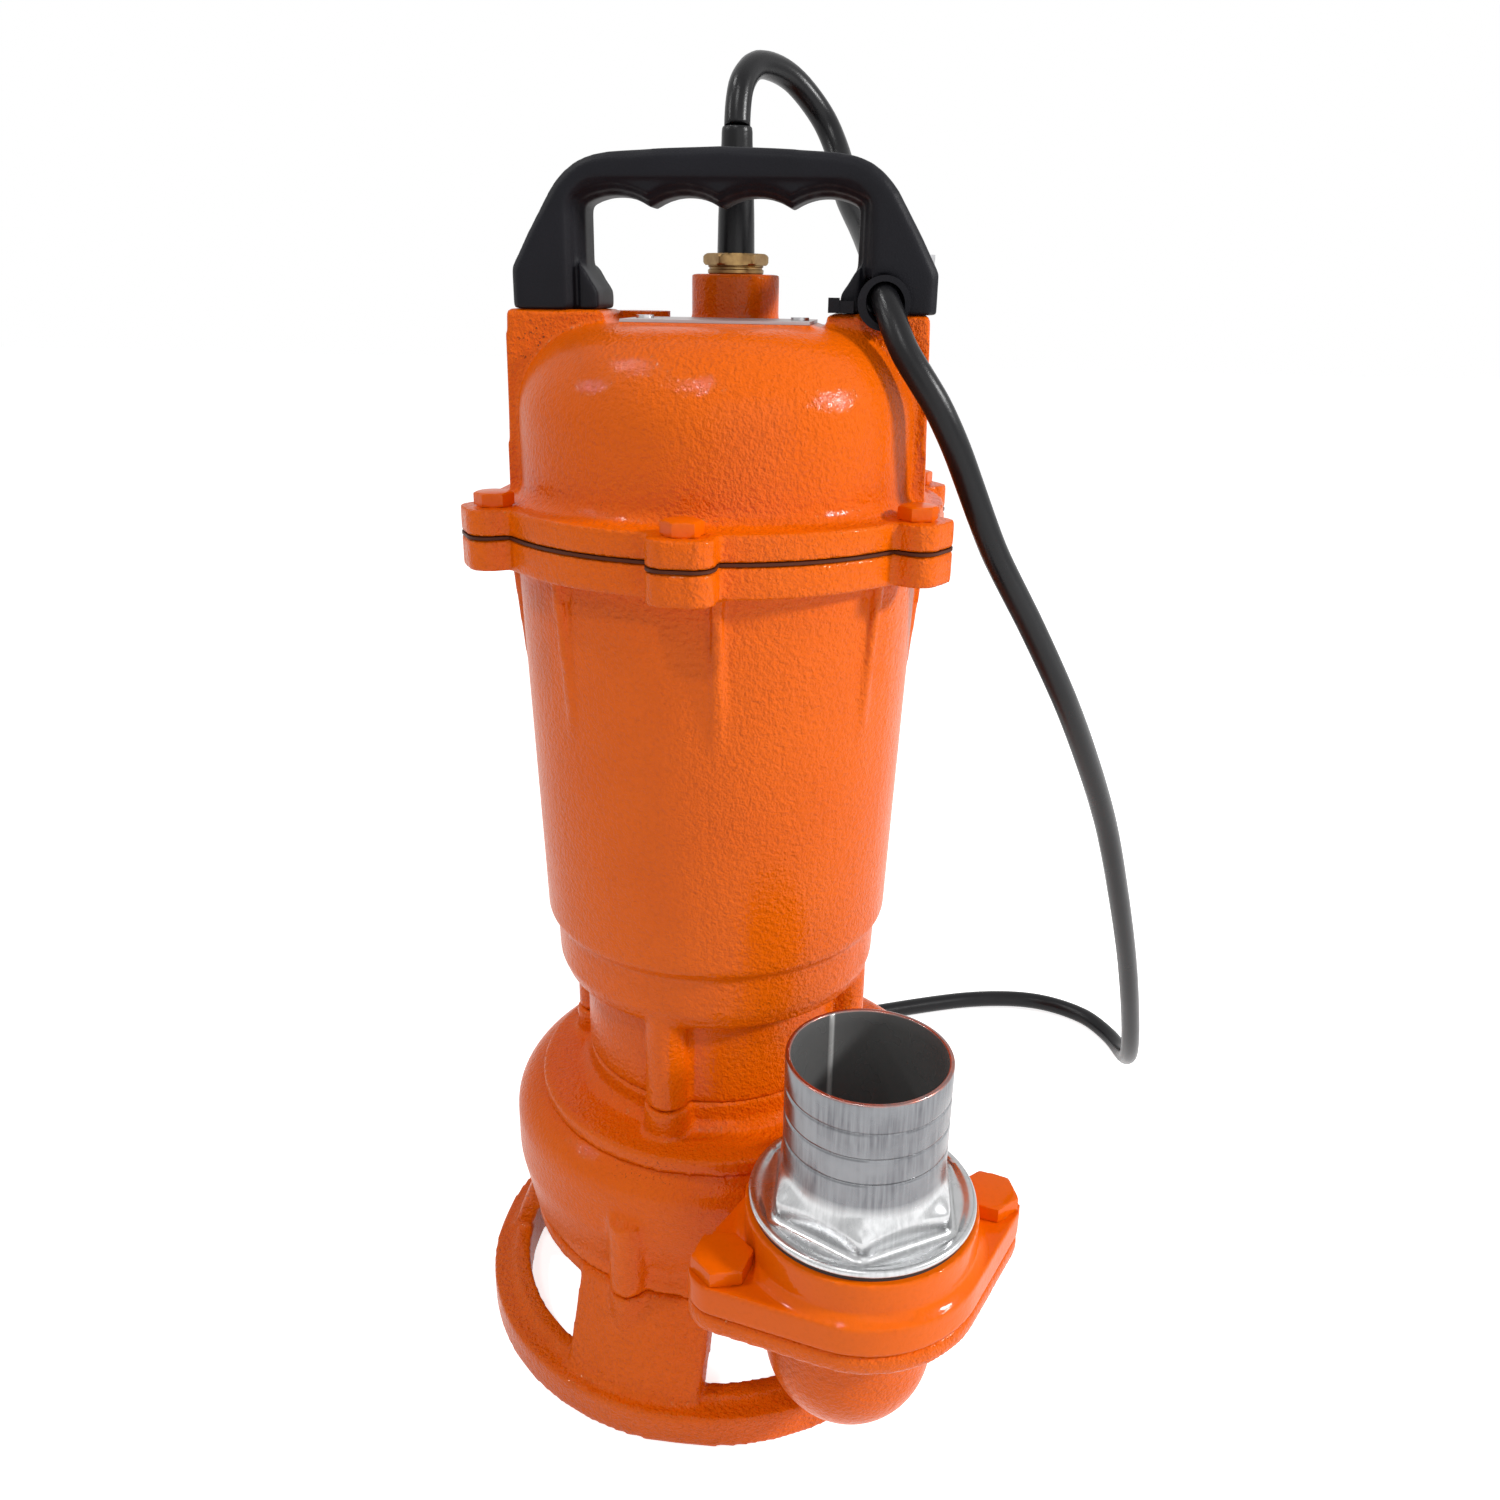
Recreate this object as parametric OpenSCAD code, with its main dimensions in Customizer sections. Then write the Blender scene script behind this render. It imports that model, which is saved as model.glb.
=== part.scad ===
// Submersible sump pump with a cast stand, a bolted outlet with a steel hose tail,
// a two-bearing induction motor and a rubber mains cord.
// Origin: pump axis at floor level. +Z is up, the handle lies along X and the
// single front cover bolt points to -Y. All sizes are in millimetres.

/* [Stand] */
// Outer radius of the foot ring
ring_r = 84; // [80:1:92]
// Radial width of the foot ring
ring_w = 13.5; // [11:0.5:18]
// Height of the foot ring
ring_h = 12; // [9:1:15]
// Height of the stand's top face
stand_h = 44.5; // [43.5:0.5:46]
// Thickness of the stand's top plate
plate_t = 5; // [4:0.5:8]
// Outer radius of the stand's top plate
plate_r = 66.5; // [66:0.5:68]
// Width of each leg
leg_w = 48; // [36:1:52]
// Radius of the suction hole
suction_r = 22; // [18:1:26]

/* [Volute] */
// Smallest outer radius of the spiral
volute_r = 56.5; // [56.5:0.5:59]
// Growth of the spiral's radius over one turn
volute_growth = 26; // [20:1:30]
// Height of the volute casing
volute_h = 46.5; // [45:0.5:49]
// Wall of the volute
volute_wall = 5; // [4:0.5:7]
// Radius of the bearing-side bore of the volute
volute_bore_r = 51.5; // [50:0.5:51.5]

/* [Volute cover] */
// Radius of the cover disc
cap_r = 62; // [59:1:64]
// Thickness of the cover disc
cap_t = 5.6; // [4.5:0.1:8]
// Radius of the neck between cover and barrel
neck_r = 45; // [43:0.5:47]
// Height of the cover's part of the neck
cap_neck_h = 10.2; // [8:0.2:13]

/* [Motor barrel] */
// Height of the oil chamber neck above the joint
neck_h = 30; // [28:1:33]
// Height of the narrow cup under the barrel's step
cup_h = 24; // [21:1:27]
// Outer radius of the cup
cup_r = 54; // [52:0.5:56]
// Outer radius at the foot of the barrel
barrel_r_low = 57.3; // [56.5:0.1:59]
// Outer radius at the top of the barrel
barrel_r_top = 61.8; // [60:0.1:64]
// Length of the barrel from its step to its flange face
barrel_h = 129; // [123:1:137]
// Radius of the stator bore
stator_r = 51.5; // [50:0.5:52.5]
// Number of cooling ribs
rib_count = 8; // [4:1:12]
// Length of the cooling ribs
rib_len = 52; // [30:1:80]

/* [Joint flange] */
// Radius of the flange between its ears
flange_r = 68.5; // [67:0.5:71]
// Reach of the ears from the axis
ear_r = 78.5; // [77:0.5:82]
// Width of an ear
ear_w = 18.5; // [16:0.5:22]
// Thickness of the barrel's flange
flange_t = 9; // [7:0.5:12]
// Thickness of the cover's flange
cover_flange_t = 7.5; // [6:0.5:10]
// Radius of the cover bolt circle
bolt_circle_r = 69.5; // [68.5:0.5:71]
// Number of cover bolts
bolt_count = 6; // [6:1:6]
// Thickness of the cover gasket
gasket_t = 0.8; // [0.5:0.1:1.5]

/* [Top cover] */
// Radius of the dome
dome_r = 59.5; // [58:0.5:62]
// Height of the dome above the joint
dome_h = 56.7; // [54:0.1:62]
// Rounding of the dome's shoulder
dome_round = 26; // [20:1:30]
// Wall of the dome
dome_wall = 5; // [4:0.5:6]
// Height of the handle pads above the dome
pad_rise = 3.6; // [2.5:0.1:5]

/* [Handle] */
// Thickness of the handle
handle_d = 26; // [22:1:26]
// Half length of the handle
handle_x = 60.6; // [59:0.1:61.5]
// Height of the handle
handle_h = 42.7; // [42.4:0.1:46]
// Half width of the finger opening
grip_x = 39; // [38.5:0.1:39.5]
// Height of the finger opening above the pads
grip_h = 30.4; // [29:0.1:32]
// Radius of each finger groove
groove_r = 17.5; // [14:0.5:26]

/* [Cord] */
// Diameter of the mains cord
cord_d = 8; // [7:0.1:8.4]
// Offset of the cable gland to the side
gland_x = 0.5; // [0:0.5:1]
// Offset of the cable gland behind the axis
gland_y = 32; // [31:0.5:33]
// Outer radius of the gland boss
gland_boss_r = 13.7; // [12.5:0.1:15]
// Height of the gland boss above the dome
gland_boss_h = 14; // [12:0.5:16]

/* [Outlet] */
// Outlet axis, X
outlet_x = 55; // [54:0.5:58]
// Outlet axis, Y
outlet_y = -80.2; // [-84:0.2:-80]
// Height of the lower outlet flange face
outlet_z = 81; // [80:0.5:83]
// Thickness of the lower flange
lower_plate_t = 6.7; // [5.5:0.1:9]
// Thickness of the upper flange
upper_plate_t = 9.3; // [7:0.1:12]
// Half distance between the outlet bolts
outlet_bolt_x = 43.5; // [43:0.5:50]
// Middle radius of the rhombus flanges
rhombus_r = 37.8; // [36.5:0.1:38.5]
// End radius of the rhombus flanges
rhombus_end_r = 10; // [10:0.5:13]
// Height of the threaded collar
collar_h = 12.6; // [11:0.2:20]
// Outer radius of the threaded collar
collar_r = 34.8; // [33.5:0.1:35]
// Radius of the passage
passage_r = 20; // [17:0.5:21]

/* [Hose tail] */
// Outer radius of the hose tail
tail_r = 24; // [22.5:0.1:25]
// Wall of the hose tail
tail_wall = 1.5; // [1.2:0.1:2]
// Length of the tail above its washer flange
tail_h = 46.8; // [40:0.4:60]
// Radius of the tail's washer flange
tail_flange_r = 33.8; // [33:0.1:34.6]
// Thickness of the tail's washer flange
tail_flange_t = 2.4; // [1.8:0.1:4]
// Thickness of the rubber ring under the flange
tail_gasket_t = 1.6; // [1:0.1:3]

/* [Motor] */
// Length of the lamination stacks
stack_h = 70; // [60:1:76]
// Bore radius of the stator
bore_r = 28; // [26:0.5:29]
// Radial air gap
air_gap = 0.35; // [0.3:0.05:0.6]
// Number of stator slots
slot_count = 24; // [12:6:24]
// Number of balls in each bearing
ball_count = 8; // [6:1:8]

/* [Impeller] */
// Outer radius of the impeller
impeller_r = 48; // [42:0.5:49]
// Height of its vanes
vane_h = 22; // [16:1:24]
// Number of vanes
vane_count = 4; // [2:1:5]

/* [Hidden] */
$fn = 72;

// Clearances
fit = 0.05;
run_gap = 0.3;
thread_gap = 0.05;

// Directions, degrees from +X
front = -90;
leg_turn = front - 14;
foot_bolt_turn = front - 18;
pillar_turn = front - 12;
rib_turn = front + 7.5;
spiral_start = 0;
outlet_turn = 25.3;

// Stand
ring_lip_h = 2;
ring_lip_w = 6;
leg_t = 7;
leg_step = 0.5;
boss_step = 0.3;
leg_count = 4;
foot_bolt_r = 66;
foot_boss_r = 6.3;
foot_boss_h = 28.5;
spigot_h = 4;
foot_thread = 5.5;
foot_bolt_len = 25;
seat_z = stand_h + foot_thread - 0.5 - foot_bolt_len;
pocket_gap = 0.8;

// Volute
volute_top = stand_h + volute_h;
shoulder_r = 12;
hip_w = 4;
hip_h = 20;
skirt_h = 13.5;
skirt_in = 5.5;
cap_land_h = 10;
cap_land_in = 1;
elbow_r = 26;
elbow_drop = 28.6;
elbow_shift = 2;
duct_r = 18;
duct_x = volute_r + volute_growth - duct_r - 3.5;
duct_z = stand_h + duct_r + run_gap;
duct_wall = 6;
floor_t = 6.5;
chamber_floor = stand_h + spigot_h;
chamber_roof = volute_top - 6;
flange_relief = 0.8;

// Cover and neck
cap_top = volute_top + cap_t;
neck_joint = cap_top + cap_neck_h;
pillar_circle_r = 46.5;
pillar_r = 7;
pillar_boss_r = 7.8;
pillar_relief = 0.3;
cap_spigot_h = 7;
cover_screw_reach = 20;
oring_r = 0.9;
oring_circle_r = 40.1;
oring_slot_w = 2.4;

// Barrel
cup_bottom = neck_joint + neck_h;
step_z = cup_bottom + cup_h;
flange_z = step_z + barrel_h;
ear_root = barrel_r_top + 1.5;
oil_r = 37;
oil_roof = neck_joint + 27;
motor_floor = oil_roof + 16;
rib_w = 3;
rib_d = 3.4;
ear_round = 6;
bolt_turn = front;

// Motor shaft and bearings
low_bearing_z = oil_roof + 14;
low_bearing_w = 12;
low_bearing_or = 20;
low_bearing_ir = 8.5;
top_bearing_w = 11;
top_bearing_or = 17.5;
top_bearing_ir = 7.5;
bracket_t = 4.8;
bracket_r = 56;
bracket_top = flange_z + gasket_t;
top_bearing_z = bracket_top - 3.8;
hub_r = 24;
hub_top = top_bearing_z + top_bearing_w + 1;
low_bearing_top = low_bearing_z + low_bearing_w;
hub_low = top_bearing_z - 4;
stack_z = (low_bearing_top + hub_low - stack_h) / 2;
winding_h = min(20, (hub_low - low_bearing_top - stack_h) / 2 - 3);
shaft_mid_r = 10;
end_ring_h = 8;
end_ring_r = 15;
bracket_hole_r = 7;
bracket_hole_circle_r = 37;
winding_r_in = bore_r + 3;
winding_r_out = stator_r - 6;
slot_w = 4;
slot_depth = 11;
seal_shaft_r = 8;
impeller_z = chamber_floor + 3;
shroud_t = 4;
hub_h = volute_top - cap_spigot_h - 2 - impeller_z;
impeller_shaft_r = 6;
nut_h = 6;
nut_af = 16;
shaft_bottom = impeller_z - 1.5;

// Top cover
seam_top = flange_z + gasket_t;
dome_top = seam_top + dome_h;
pad_top = dome_top + pad_rise;
pad_inner_x = 32;
pad_top_x = handle_x + 0.2;
pad_foot_x = handle_x + 2.1;
handle_shift = 1.8;
window_shift = 0.8;
window_border = 4.2;
window_border_t = 1.6;
flare = [[1.3, 7], [2.8, 4]];
toe_in = 4.4;
toe_x = window_shift + grip_x - toe_in;
handle_screw_x = handle_x - 6;
handle_seat_h = 10;
handle_bore_r = 5.3;
plate_x = 1.5;
plate_y = -7;
plate_w = 53;
plate_pad_h = 0.8;
plate_pad_rim = 0.6;
plate_d = 34;
plate_thick = 0.8;
rivet_r = 1.6;
plug_x = -27;
plug_y = 20;
test_plug_r = 8.6;
test_plug_h = 3;

// Fasteners: M6 and M10
m6_r = 3;
m6_af = 10;
m6_head = 4;
m10_r = 5;
m10_af = 16;
m10_head = 5.2;
cover_bolt_len = 15.5;

// Outlet
outlet_gasket_t = 0.7;
upper_plate_z = outlet_z + outlet_gasket_t;
spot_face = 0.3;
cap_clear = 0.5;
collar_z = upper_plate_z + upper_plate_t;
collar_top = collar_z + collar_h;
tail_flange_z = collar_top + tail_gasket_t;
tail_z = tail_flange_z + tail_flange_t;
tail_thread_r = tail_r - 0.6;
tail_thread_h = 11;
tail_hex_af = 50;
tail_hex_h = 10;
tail_hex_turn = 31;
tail_groove_r = 0.7;

// Gland and cord exit
gland_z = dome_top + gland_boss_h;
gland_bore_r = 7;
gland_flange_r = 8.7;
gland_flange_h = 2.6;
gland_nut_h = 3.4;
gland_nut_af = 18;
gland_inner_r = 5.5;
sleeve_r = 5.25;
sleeve_end_r = cord_d / 2 + 0.5;
sleeve_len = 39;
sleeve_taper = 18;
sleeve_bottom = gland_z + gland_flange_h;
cord_exit_z = sleeve_bottom + sleeve_len;
cord_inner_z = dome_top - 10;

// Terminal block, capacitor
block_w = 40;
block_d = 16;
block_h = 14;
block_y = 24;
lead_r = 1.3;
lead_step = 5;
lead_y = 36;
capacitor_r = 15;
capacitor_len = 56;
capacitor_y = -25;
capacitor_z = bracket_top + 31;
clamp_t = 1.2;

// Cord route through the handle
eye_x = 47.5;
eye_z = pad_top + 4.7;
eye_r = cord_d / 2 + 0.8;
eye_drop = 11.2;
eye_shift = 4.5;
grommet_r = 7.3;
grommet_t = 4;
grommet_gap = 1.3;
tie_slot_x = 38;

// Free cord: over the handle, through its eye and down to the floor behind
exit_point = [gland_x, gland_y, cord_exit_z];
arch_points = [
    [1, 36, 414], [5, 46, 421.5], [14.5, 58, 419.5], [25, 63, 408], [31.5, 56, 394],
    [34, 42, 385], [39, 29, 376], [43, 15, 368], [45, 0, 361], [48, -15, 355],
];
hanging_points = [
    [54, -25, 342], [63, -27, 329], [71, -24, 314], [83, -16, 287], [96, -6, 264],
    [111, 7, 236], [124, 24, 208], [137, 44, 176], [149, 65, 139], [161, 88, 98],
    [171, 110, 58], [178, 130, 26], [181, 150, 9],
];
floor_points = [
    [179, 170, 4.5], [169, 188, 4.5], [152, 199, 4.5], [132, 202, 4.5], [105, 197, 4.5],
    [72, 184, 4.5], [42, 171, 4.5], [16, 163, 5], [-6, 160.5, 5.5],
];
coil_x = -34;
coil_y = 232;
coil_turns = 20;
coil_layer_turns = 5;
coil_out_r = 72;
coil_step = 8.5;
tie_t = 1.5;
tie_gap = 0.3;
coil_z = tie_t + tie_gap + cord_d / 2;
coil_rings = 24;
end_points = [
    [-56, 160.3, 32], [-75, 164.2, 34.5], [-90.5, 176.1, 38], [-99.5, 193.4, 42],
    [-100, 212, 46.5], [-95, 227.5, 50.5], [-85.1, 238.8, 53.4], [-78.6, 243.4, 54.1],
];
coil_top = coil_z + 3 * coil_step;
coil_lead = cord_d;
plug_r = 18.5;
plug_len = 34;
plug_boot_len = 26;
plug_rear = [-72, 248, coil_top + cord_d / 2 + plug_r + run_gap];
plug_dir = 35;
pin_r = 2.4;
pin_len = 19;
pin_gap = 19;
tie_w = 10;

// ---------------------------------------------------------------- helpers

function along(angle, r) = [r * cos(angle), r * sin(angle)];

module around(count, turn, r) {
    for (i = [0 : count - 1])
        rotate(turn + i * 360 / count)
            translate([r, 0, 0])
                children();
}

module tube(z0, z1, r_out, r_in) {
    translate([0, 0, z0])
        difference() {
            cylinder(h = z1 - z0, r = r_out);
            translate([0, 0, -1])
                cylinder(h = z1 - z0 + 2, r = r_in);
        }
}

module disc(z0, z1, r) {
    translate([0, 0, z0])
        cylinder(h = z1 - z0, r = r);
}

module hex_bolt(r, af, head, len) {
    rotate(30)
        cylinder(h = head, r = af / sqrt(3), $fn = 6);
    translate([0, 0, -len])
        cylinder(h = len, r = r);
}

// ---------------------------------------------------------------- stand

module leg_profile() {
    polygon([
        [plate_r - leg_t, stand_h - leg_step],
        [plate_r + leg_step, stand_h - leg_step],
        [ring_r - 5, ring_h],
        [ring_r - 5, 1],
        [ring_r - 5 - leg_t, 1],
        [ring_r - 5 - leg_t, ring_h],
    ]);
}

// Cone of the legs' faces, cut to parallel-sided legs
module legs() {
    intersection() {
        rotate_extrude()
            leg_profile();
        around(leg_count, leg_turn, 0)
            translate([0, -leg_w / 2, 0])
                cube([ring_r, leg_w, stand_h + 1]);
    }
}

module base_stand() {
    color("darkorange")
    difference() {
        union() {
            tube(0, ring_h, ring_r, ring_r - ring_w);
            tube(0, ring_h + ring_lip_h, ring_r - ring_w + ring_lip_w, ring_r - ring_w);
            legs();
            tube(stand_h - plate_t, stand_h, plate_r, suction_r);
            tube(stand_h - 1, chamber_floor, volute_bore_r - fit, suction_r);
            around(leg_count, foot_bolt_turn, foot_bolt_r)
                disc(seat_z - 0.5, stand_h - boss_step, foot_boss_r);
        }
        around(leg_count, foot_bolt_turn, foot_bolt_r)
            disc(seat_z - 1, stand_h + 1, m6_r + 0.3);
        around(leg_count, foot_bolt_turn, foot_bolt_r)
            disc(ring_h + ring_lip_h + 0.5, seat_z, m6_af / sqrt(3) + pocket_gap);
    }
}

module foot_bolts() {
    color("silver")
    around(leg_count, foot_bolt_turn, foot_bolt_r)
        translate([0, 0, seat_z])
            rotate([180, 0, 0])
                hex_bolt(m6_r, m6_af, m6_head, foot_bolt_len);
}

// ---------------------------------------------------------------- volute

// Centre of each quarter arc, so that the outer wall grows evenly
spiral_step = volute_growth / 4;
function unit(angle) = [cos(angle), sin(angle)];
spiral_v = unit(spiral_start - 90) * spiral_step;
spiral_w = unit(spiral_start) * spiral_step;
spiral_origin = (spiral_v - spiral_w) / 2;
spiral_centres = [
    spiral_origin,
    spiral_origin - spiral_v,
    spiral_origin - spiral_v + spiral_w,
    spiral_origin + spiral_w,
];

module wall_profile(r, low, high) {
    polygon([
        [0, low],
        [r - hip_w, low],
        [r, low + hip_h],
        [r, high - shoulder_r],
        [r - shoulder_r, high],
        [0, high],
    ]);
    intersection() {
        translate([r - shoulder_r, high - shoulder_r])
            circle(r = shoulder_r);
        translate([r - shoulder_r, high - shoulder_r])
            square(shoulder_r);
    }
}

module spiral(grow, low, high) {
    for (q = [0 : 3])
        translate(spiral_centres[q])
            rotate(spiral_start - 90 * (q + 1))
                rotate_extrude(angle = 90)
                    wall_profile(volute_r + spiral_step * (q + 1) + grow, low, high);
}

module rhombus(r, end_r, half, h) {
    reach = acos((r - end_r) / half);
    cylinder(h = h, r = r);
    for (s = [-1, 1])
        translate([s * half, 0, 0])
            cylinder(h = h, r = end_r);
    linear_extrude(h)
        polygon([
            [r * cos(reach), r * sin(reach)],
            [half + end_r * cos(reach), end_r * sin(reach)],
            [half + end_r * cos(reach), -end_r * sin(reach)],
            [r * cos(reach), -r * sin(reach)],
            [-r * cos(reach), -r * sin(reach)],
            [-half - end_r * cos(reach), -end_r * sin(reach)],
            [-half - end_r * cos(reach), end_r * sin(reach)],
            [-r * cos(reach), r * sin(reach)],
        ]);
}

module at_outlet(z) {
    translate([outlet_x, outlet_y, z])
        rotate(outlet_turn)
            children();
}

elbow_centre = [outlet_x - elbow_shift, outlet_y, outlet_z - elbow_drop];
duct_start = [duct_x, 0, duct_z];
duct_run = [elbow_centre[0], elbow_centre[1], duct_start[2]] - duct_start;

// Vertical bore with a round bottom
module elbow(r, top) {
    translate(elbow_centre)
        rotate_extrude() {
            intersection() {
                circle(r = r);
                translate([0, -r])
                    square([r, r]);
            }
            square([r, top - elbow_centre[2]]);
        }
}

module duct(r, early) {
    translate(duct_start)
        rotate([0, 90, atan2(duct_run[1], duct_run[0])])
            translate([0, 0, -early])
                cylinder(h = norm(duct_run) + early, r = r);
}

module volute_casing() {
    color("darkorange")
    difference() {
        union() {
            spiral(0, stand_h, volute_top);
            translate([0, 0, stand_h])
                cylinder(h = skirt_h, r1 = plate_r, r2 = plate_r - skirt_in);
            disc(volute_top - cap_land_h, volute_top, cap_r - cap_land_in);
            around(leg_count, foot_bolt_turn, foot_bolt_r)
                disc(stand_h, stand_h + foot_boss_h, foot_boss_r);
            elbow(elbow_r, outlet_z - 1);
            duct(duct_r, 0);
            at_outlet(outlet_z - lower_plate_t)
                rhombus(rhombus_r, rhombus_end_r, outlet_bolt_x, lower_plate_t);
        }
        spiral(-volute_wall, stand_h + floor_t, chamber_roof);
        disc(stand_h - 1, volute_top + 1, volute_bore_r);
        elbow(passage_r, outlet_z + 1);
        duct(duct_r - duct_wall, 8);
        at_outlet(outlet_z)
            rhombus(rhombus_r + flange_relief, rhombus_end_r, outlet_bolt_x, 20);
        around(leg_count, foot_bolt_turn, foot_bolt_r)
            disc(stand_h - 1, stand_h + foot_thread, m6_r + thread_gap);
        at_outlet(outlet_z - lower_plate_t - 1)
            for (s = [-1, 1])
                translate([s * outlet_bolt_x, 0, 0])
                    cylinder(h = lower_plate_t + 2, r = m10_r + thread_gap);
    }
}

module volute_cover() {
    color("darkorange")
    difference() {
        union() {
            disc(volute_top, cap_top, cap_r);
            disc(volute_top - cap_spigot_h, volute_top + 1, volute_bore_r - fit);
            disc(cap_top - 1, neck_joint, neck_r);
            around(4, pillar_turn, pillar_circle_r)
                disc(cap_top - 1, neck_joint, pillar_boss_r);
            rotate_extrude()
                polygon([[neck_r - 1, cap_top], [neck_r + 3, cap_top], [neck_r, cap_top + 3],
                    [neck_r - 1, cap_top + 3]]);
        }
        disc(volute_top - cap_spigot_h - 1, neck_joint + 1, seal_shaft_r + 0.8);
        disc(neck_joint - 6, neck_joint + 1, 14 + fit);
        around(4, pillar_turn, pillar_circle_r)
            disc(volute_top - cap_spigot_h - 1, neck_joint + 1, m6_r + 0.3);
        around(4, pillar_turn, pillar_circle_r)
            disc(volute_top - cap_spigot_h - 1, volute_top, 5.3);
        oring_groove();
    }
}

module oring_groove() {
    tube(neck_joint - 2 * oring_r - 0.1, neck_joint + 1,
        oring_circle_r + oring_slot_w / 2, oring_circle_r - oring_slot_w / 2);
}

module neck_oring() {
    color("black")
    rotate_extrude()
        translate([oring_circle_r, neck_joint - oring_r - fit])
            circle(r = oring_r, $fn = 24);
}

module cover_screws() {
    color("silver")
    around(4, pillar_turn, pillar_circle_r)
        translate([0, 0, volute_top]) {
            rotate([180, 0, 0])
                cylinder(h = 6, r = 5);
            cylinder(h = cap_t + cap_neck_h + cover_screw_reach, r = m6_r);
        }
}

// ---------------------------------------------------------------- barrel

module flange_plate(z, t) {
    disc(z, z + t, flange_r);
    around(bolt_count, bolt_turn, 0) {
        translate([ear_root, -ear_w / 2, z])
            cube([ear_r - ear_round - ear_root, ear_w, t]);
        translate([ear_root, -ear_w / 2 + ear_round, z])
            cube([ear_r - ear_root, ear_w - 2 * ear_round, t]);
        for (s = [-1, 1])
            translate([ear_r - ear_round, s * (ear_w / 2 - ear_round), z])
                cylinder(h = t, r = ear_round);
    }
}

module rib() {
    rotate([90, 0, 0])
        translate([0, 0, -rib_w / 2])
            linear_extrude(rib_w)
                polygon([
                    [barrel_r_low - 4, flange_z - flange_t - rib_len],
                    [barrel_r_top - 0.4 - rib_len * 0.035, flange_z - flange_t - rib_len],
                    [barrel_r_top + rib_d, flange_z - flange_t + 1],
                    [barrel_r_low - 4, flange_z - flange_t + 1],
                ]);
}

module motor_barrel() {
    color("darkorange")
    difference() {
        union() {
            disc(neck_joint, cup_bottom + 6, neck_r);
            rotate_extrude()
                polygon([
                    [0, cup_bottom], [cup_r - 7, cup_bottom], [cup_r - 2, cup_bottom + 3],
                    [cup_r, cup_bottom + 8], [cup_r + 0.6, step_z - 2],
                    [barrel_r_low - 0.6, step_z], [barrel_r_low, step_z + 1.5],
                    [barrel_r_top, flange_z - flange_t + 1], [0, flange_z - flange_t + 1],
                ]);
            flange_plate(flange_z - flange_t, flange_t);
            around(4, pillar_turn, pillar_circle_r)
                disc(neck_joint + pillar_relief, cup_bottom + 5, pillar_r);
            for (i = [0 : rib_count - 1])
                rotate(rib_turn + i * 360 / rib_count)
                    rib();
        }
        disc(neck_joint - 1, oil_roof, oil_r);
        disc(oil_roof - 1, motor_floor + 40, low_bearing_ir + 2.5);
        disc(oil_roof - 1, oil_roof + 7, 15 + fit);
        difference() {
            disc(motor_floor, stack_z, stator_r - 2.5);
            disc(motor_floor - 1, low_bearing_top, low_bearing_or + 5);
        }
        disc(low_bearing_z, stack_z, low_bearing_or + fit);
        disc(stack_z, flange_z + 1, stator_r + fit);
        disc(flange_z - bracket_t + gasket_t, flange_z + 1, bracket_r + fit);
        around(4, pillar_turn, pillar_circle_r)
            disc(neck_joint - 1, neck_joint + 22, m6_r + thread_gap);
        around(bolt_count, bolt_turn, bolt_circle_r)
            disc(flange_z - 8.4, flange_z + 1, m6_r + thread_gap);
    }
}

module cover_gasket() {
    color("black")
    difference() {
        flange_plate(flange_z, gasket_t);
        disc(flange_z - 1, flange_z + 2, bracket_r + 1);
        around(bolt_count, bolt_turn, bolt_circle_r)
            disc(flange_z - 1, flange_z + 2, m6_r + 0.3);
    }
}

// ---------------------------------------------------------------- top cover

module dome(r, low, top, round_r) {
    disc(low, top - round_r, r);
    disc(top - round_r - 1, top, r - round_r);
    rotate_extrude()
        intersection() {
            translate([r - round_r, top - round_r])
                circle(r = round_r);
            translate([r - round_r - 1, top - round_r])
                square([round_r + 1, round_r]);
        }
}

module pad(side) {
    translate([0, handle_d / 2, 0])
        rotate([90, 0, 0])
            linear_extrude(handle_d)
                polygon([
                    [side * pad_inner_x, seam_top + 1], [side * pad_foot_x, seam_top + 1],
                    [side * pad_top_x, pad_top], [side * pad_inner_x, pad_top],
                ]);
}

module top_cover() {
    color("darkorange")
    difference() {
        union() {
            flange_plate(seam_top, cover_flange_t);
            dome(dome_r, seam_top, dome_top, dome_round);
            rotate_extrude()
                polygon([
                    [dome_r - 1, seam_top + cover_flange_t], [dome_r + 4, seam_top + cover_flange_t],
                    [dome_r + 1.2, seam_top + cover_flange_t + 1.2],
                    [dome_r, seam_top + cover_flange_t + 4],
                    [dome_r - 1, seam_top + cover_flange_t + 4],
                ]);
            pad(-1);
            pad(1);
            translate([plate_x, plate_y, dome_top - 1])
                linear_extrude(plate_pad_h + 1)
                    square([plate_w + 2 * plate_pad_rim, plate_d + 2 * plate_pad_rim], center = true);
            translate([gland_x, gland_y, dome_top - dome_wall])
                cylinder(h = gland_z - dome_top + dome_wall, r = gland_boss_r);
        }
        difference() {
            dome(bracket_r - 2, seam_top - 1, dome_top - dome_wall, dome_round - dome_wall);
            translate([gland_x, gland_y, dome_top - dome_wall - 3])
                cylinder(h = dome_wall + 3, r = gland_boss_r - 4);
        }
        translate([gland_x, gland_y, dome_top - 30])
            cylinder(h = gland_z - dome_top + 31, r = gland_bore_r);
        around(bolt_count, bolt_turn, bolt_circle_r)
            disc(seam_top - 1, seam_top + cover_flange_t + 1, m6_r + 0.3);
        for (s = [-1, 1])
            translate([handle_shift + s * handle_screw_x, 0, pad_top - 15])
                cylinder(h = 16, r = m6_r + thread_gap);
        translate([plug_x, plug_y, dome_top - 4.5])
            cylinder(h = 6, r = 5 + thread_gap);
    }
}

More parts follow.
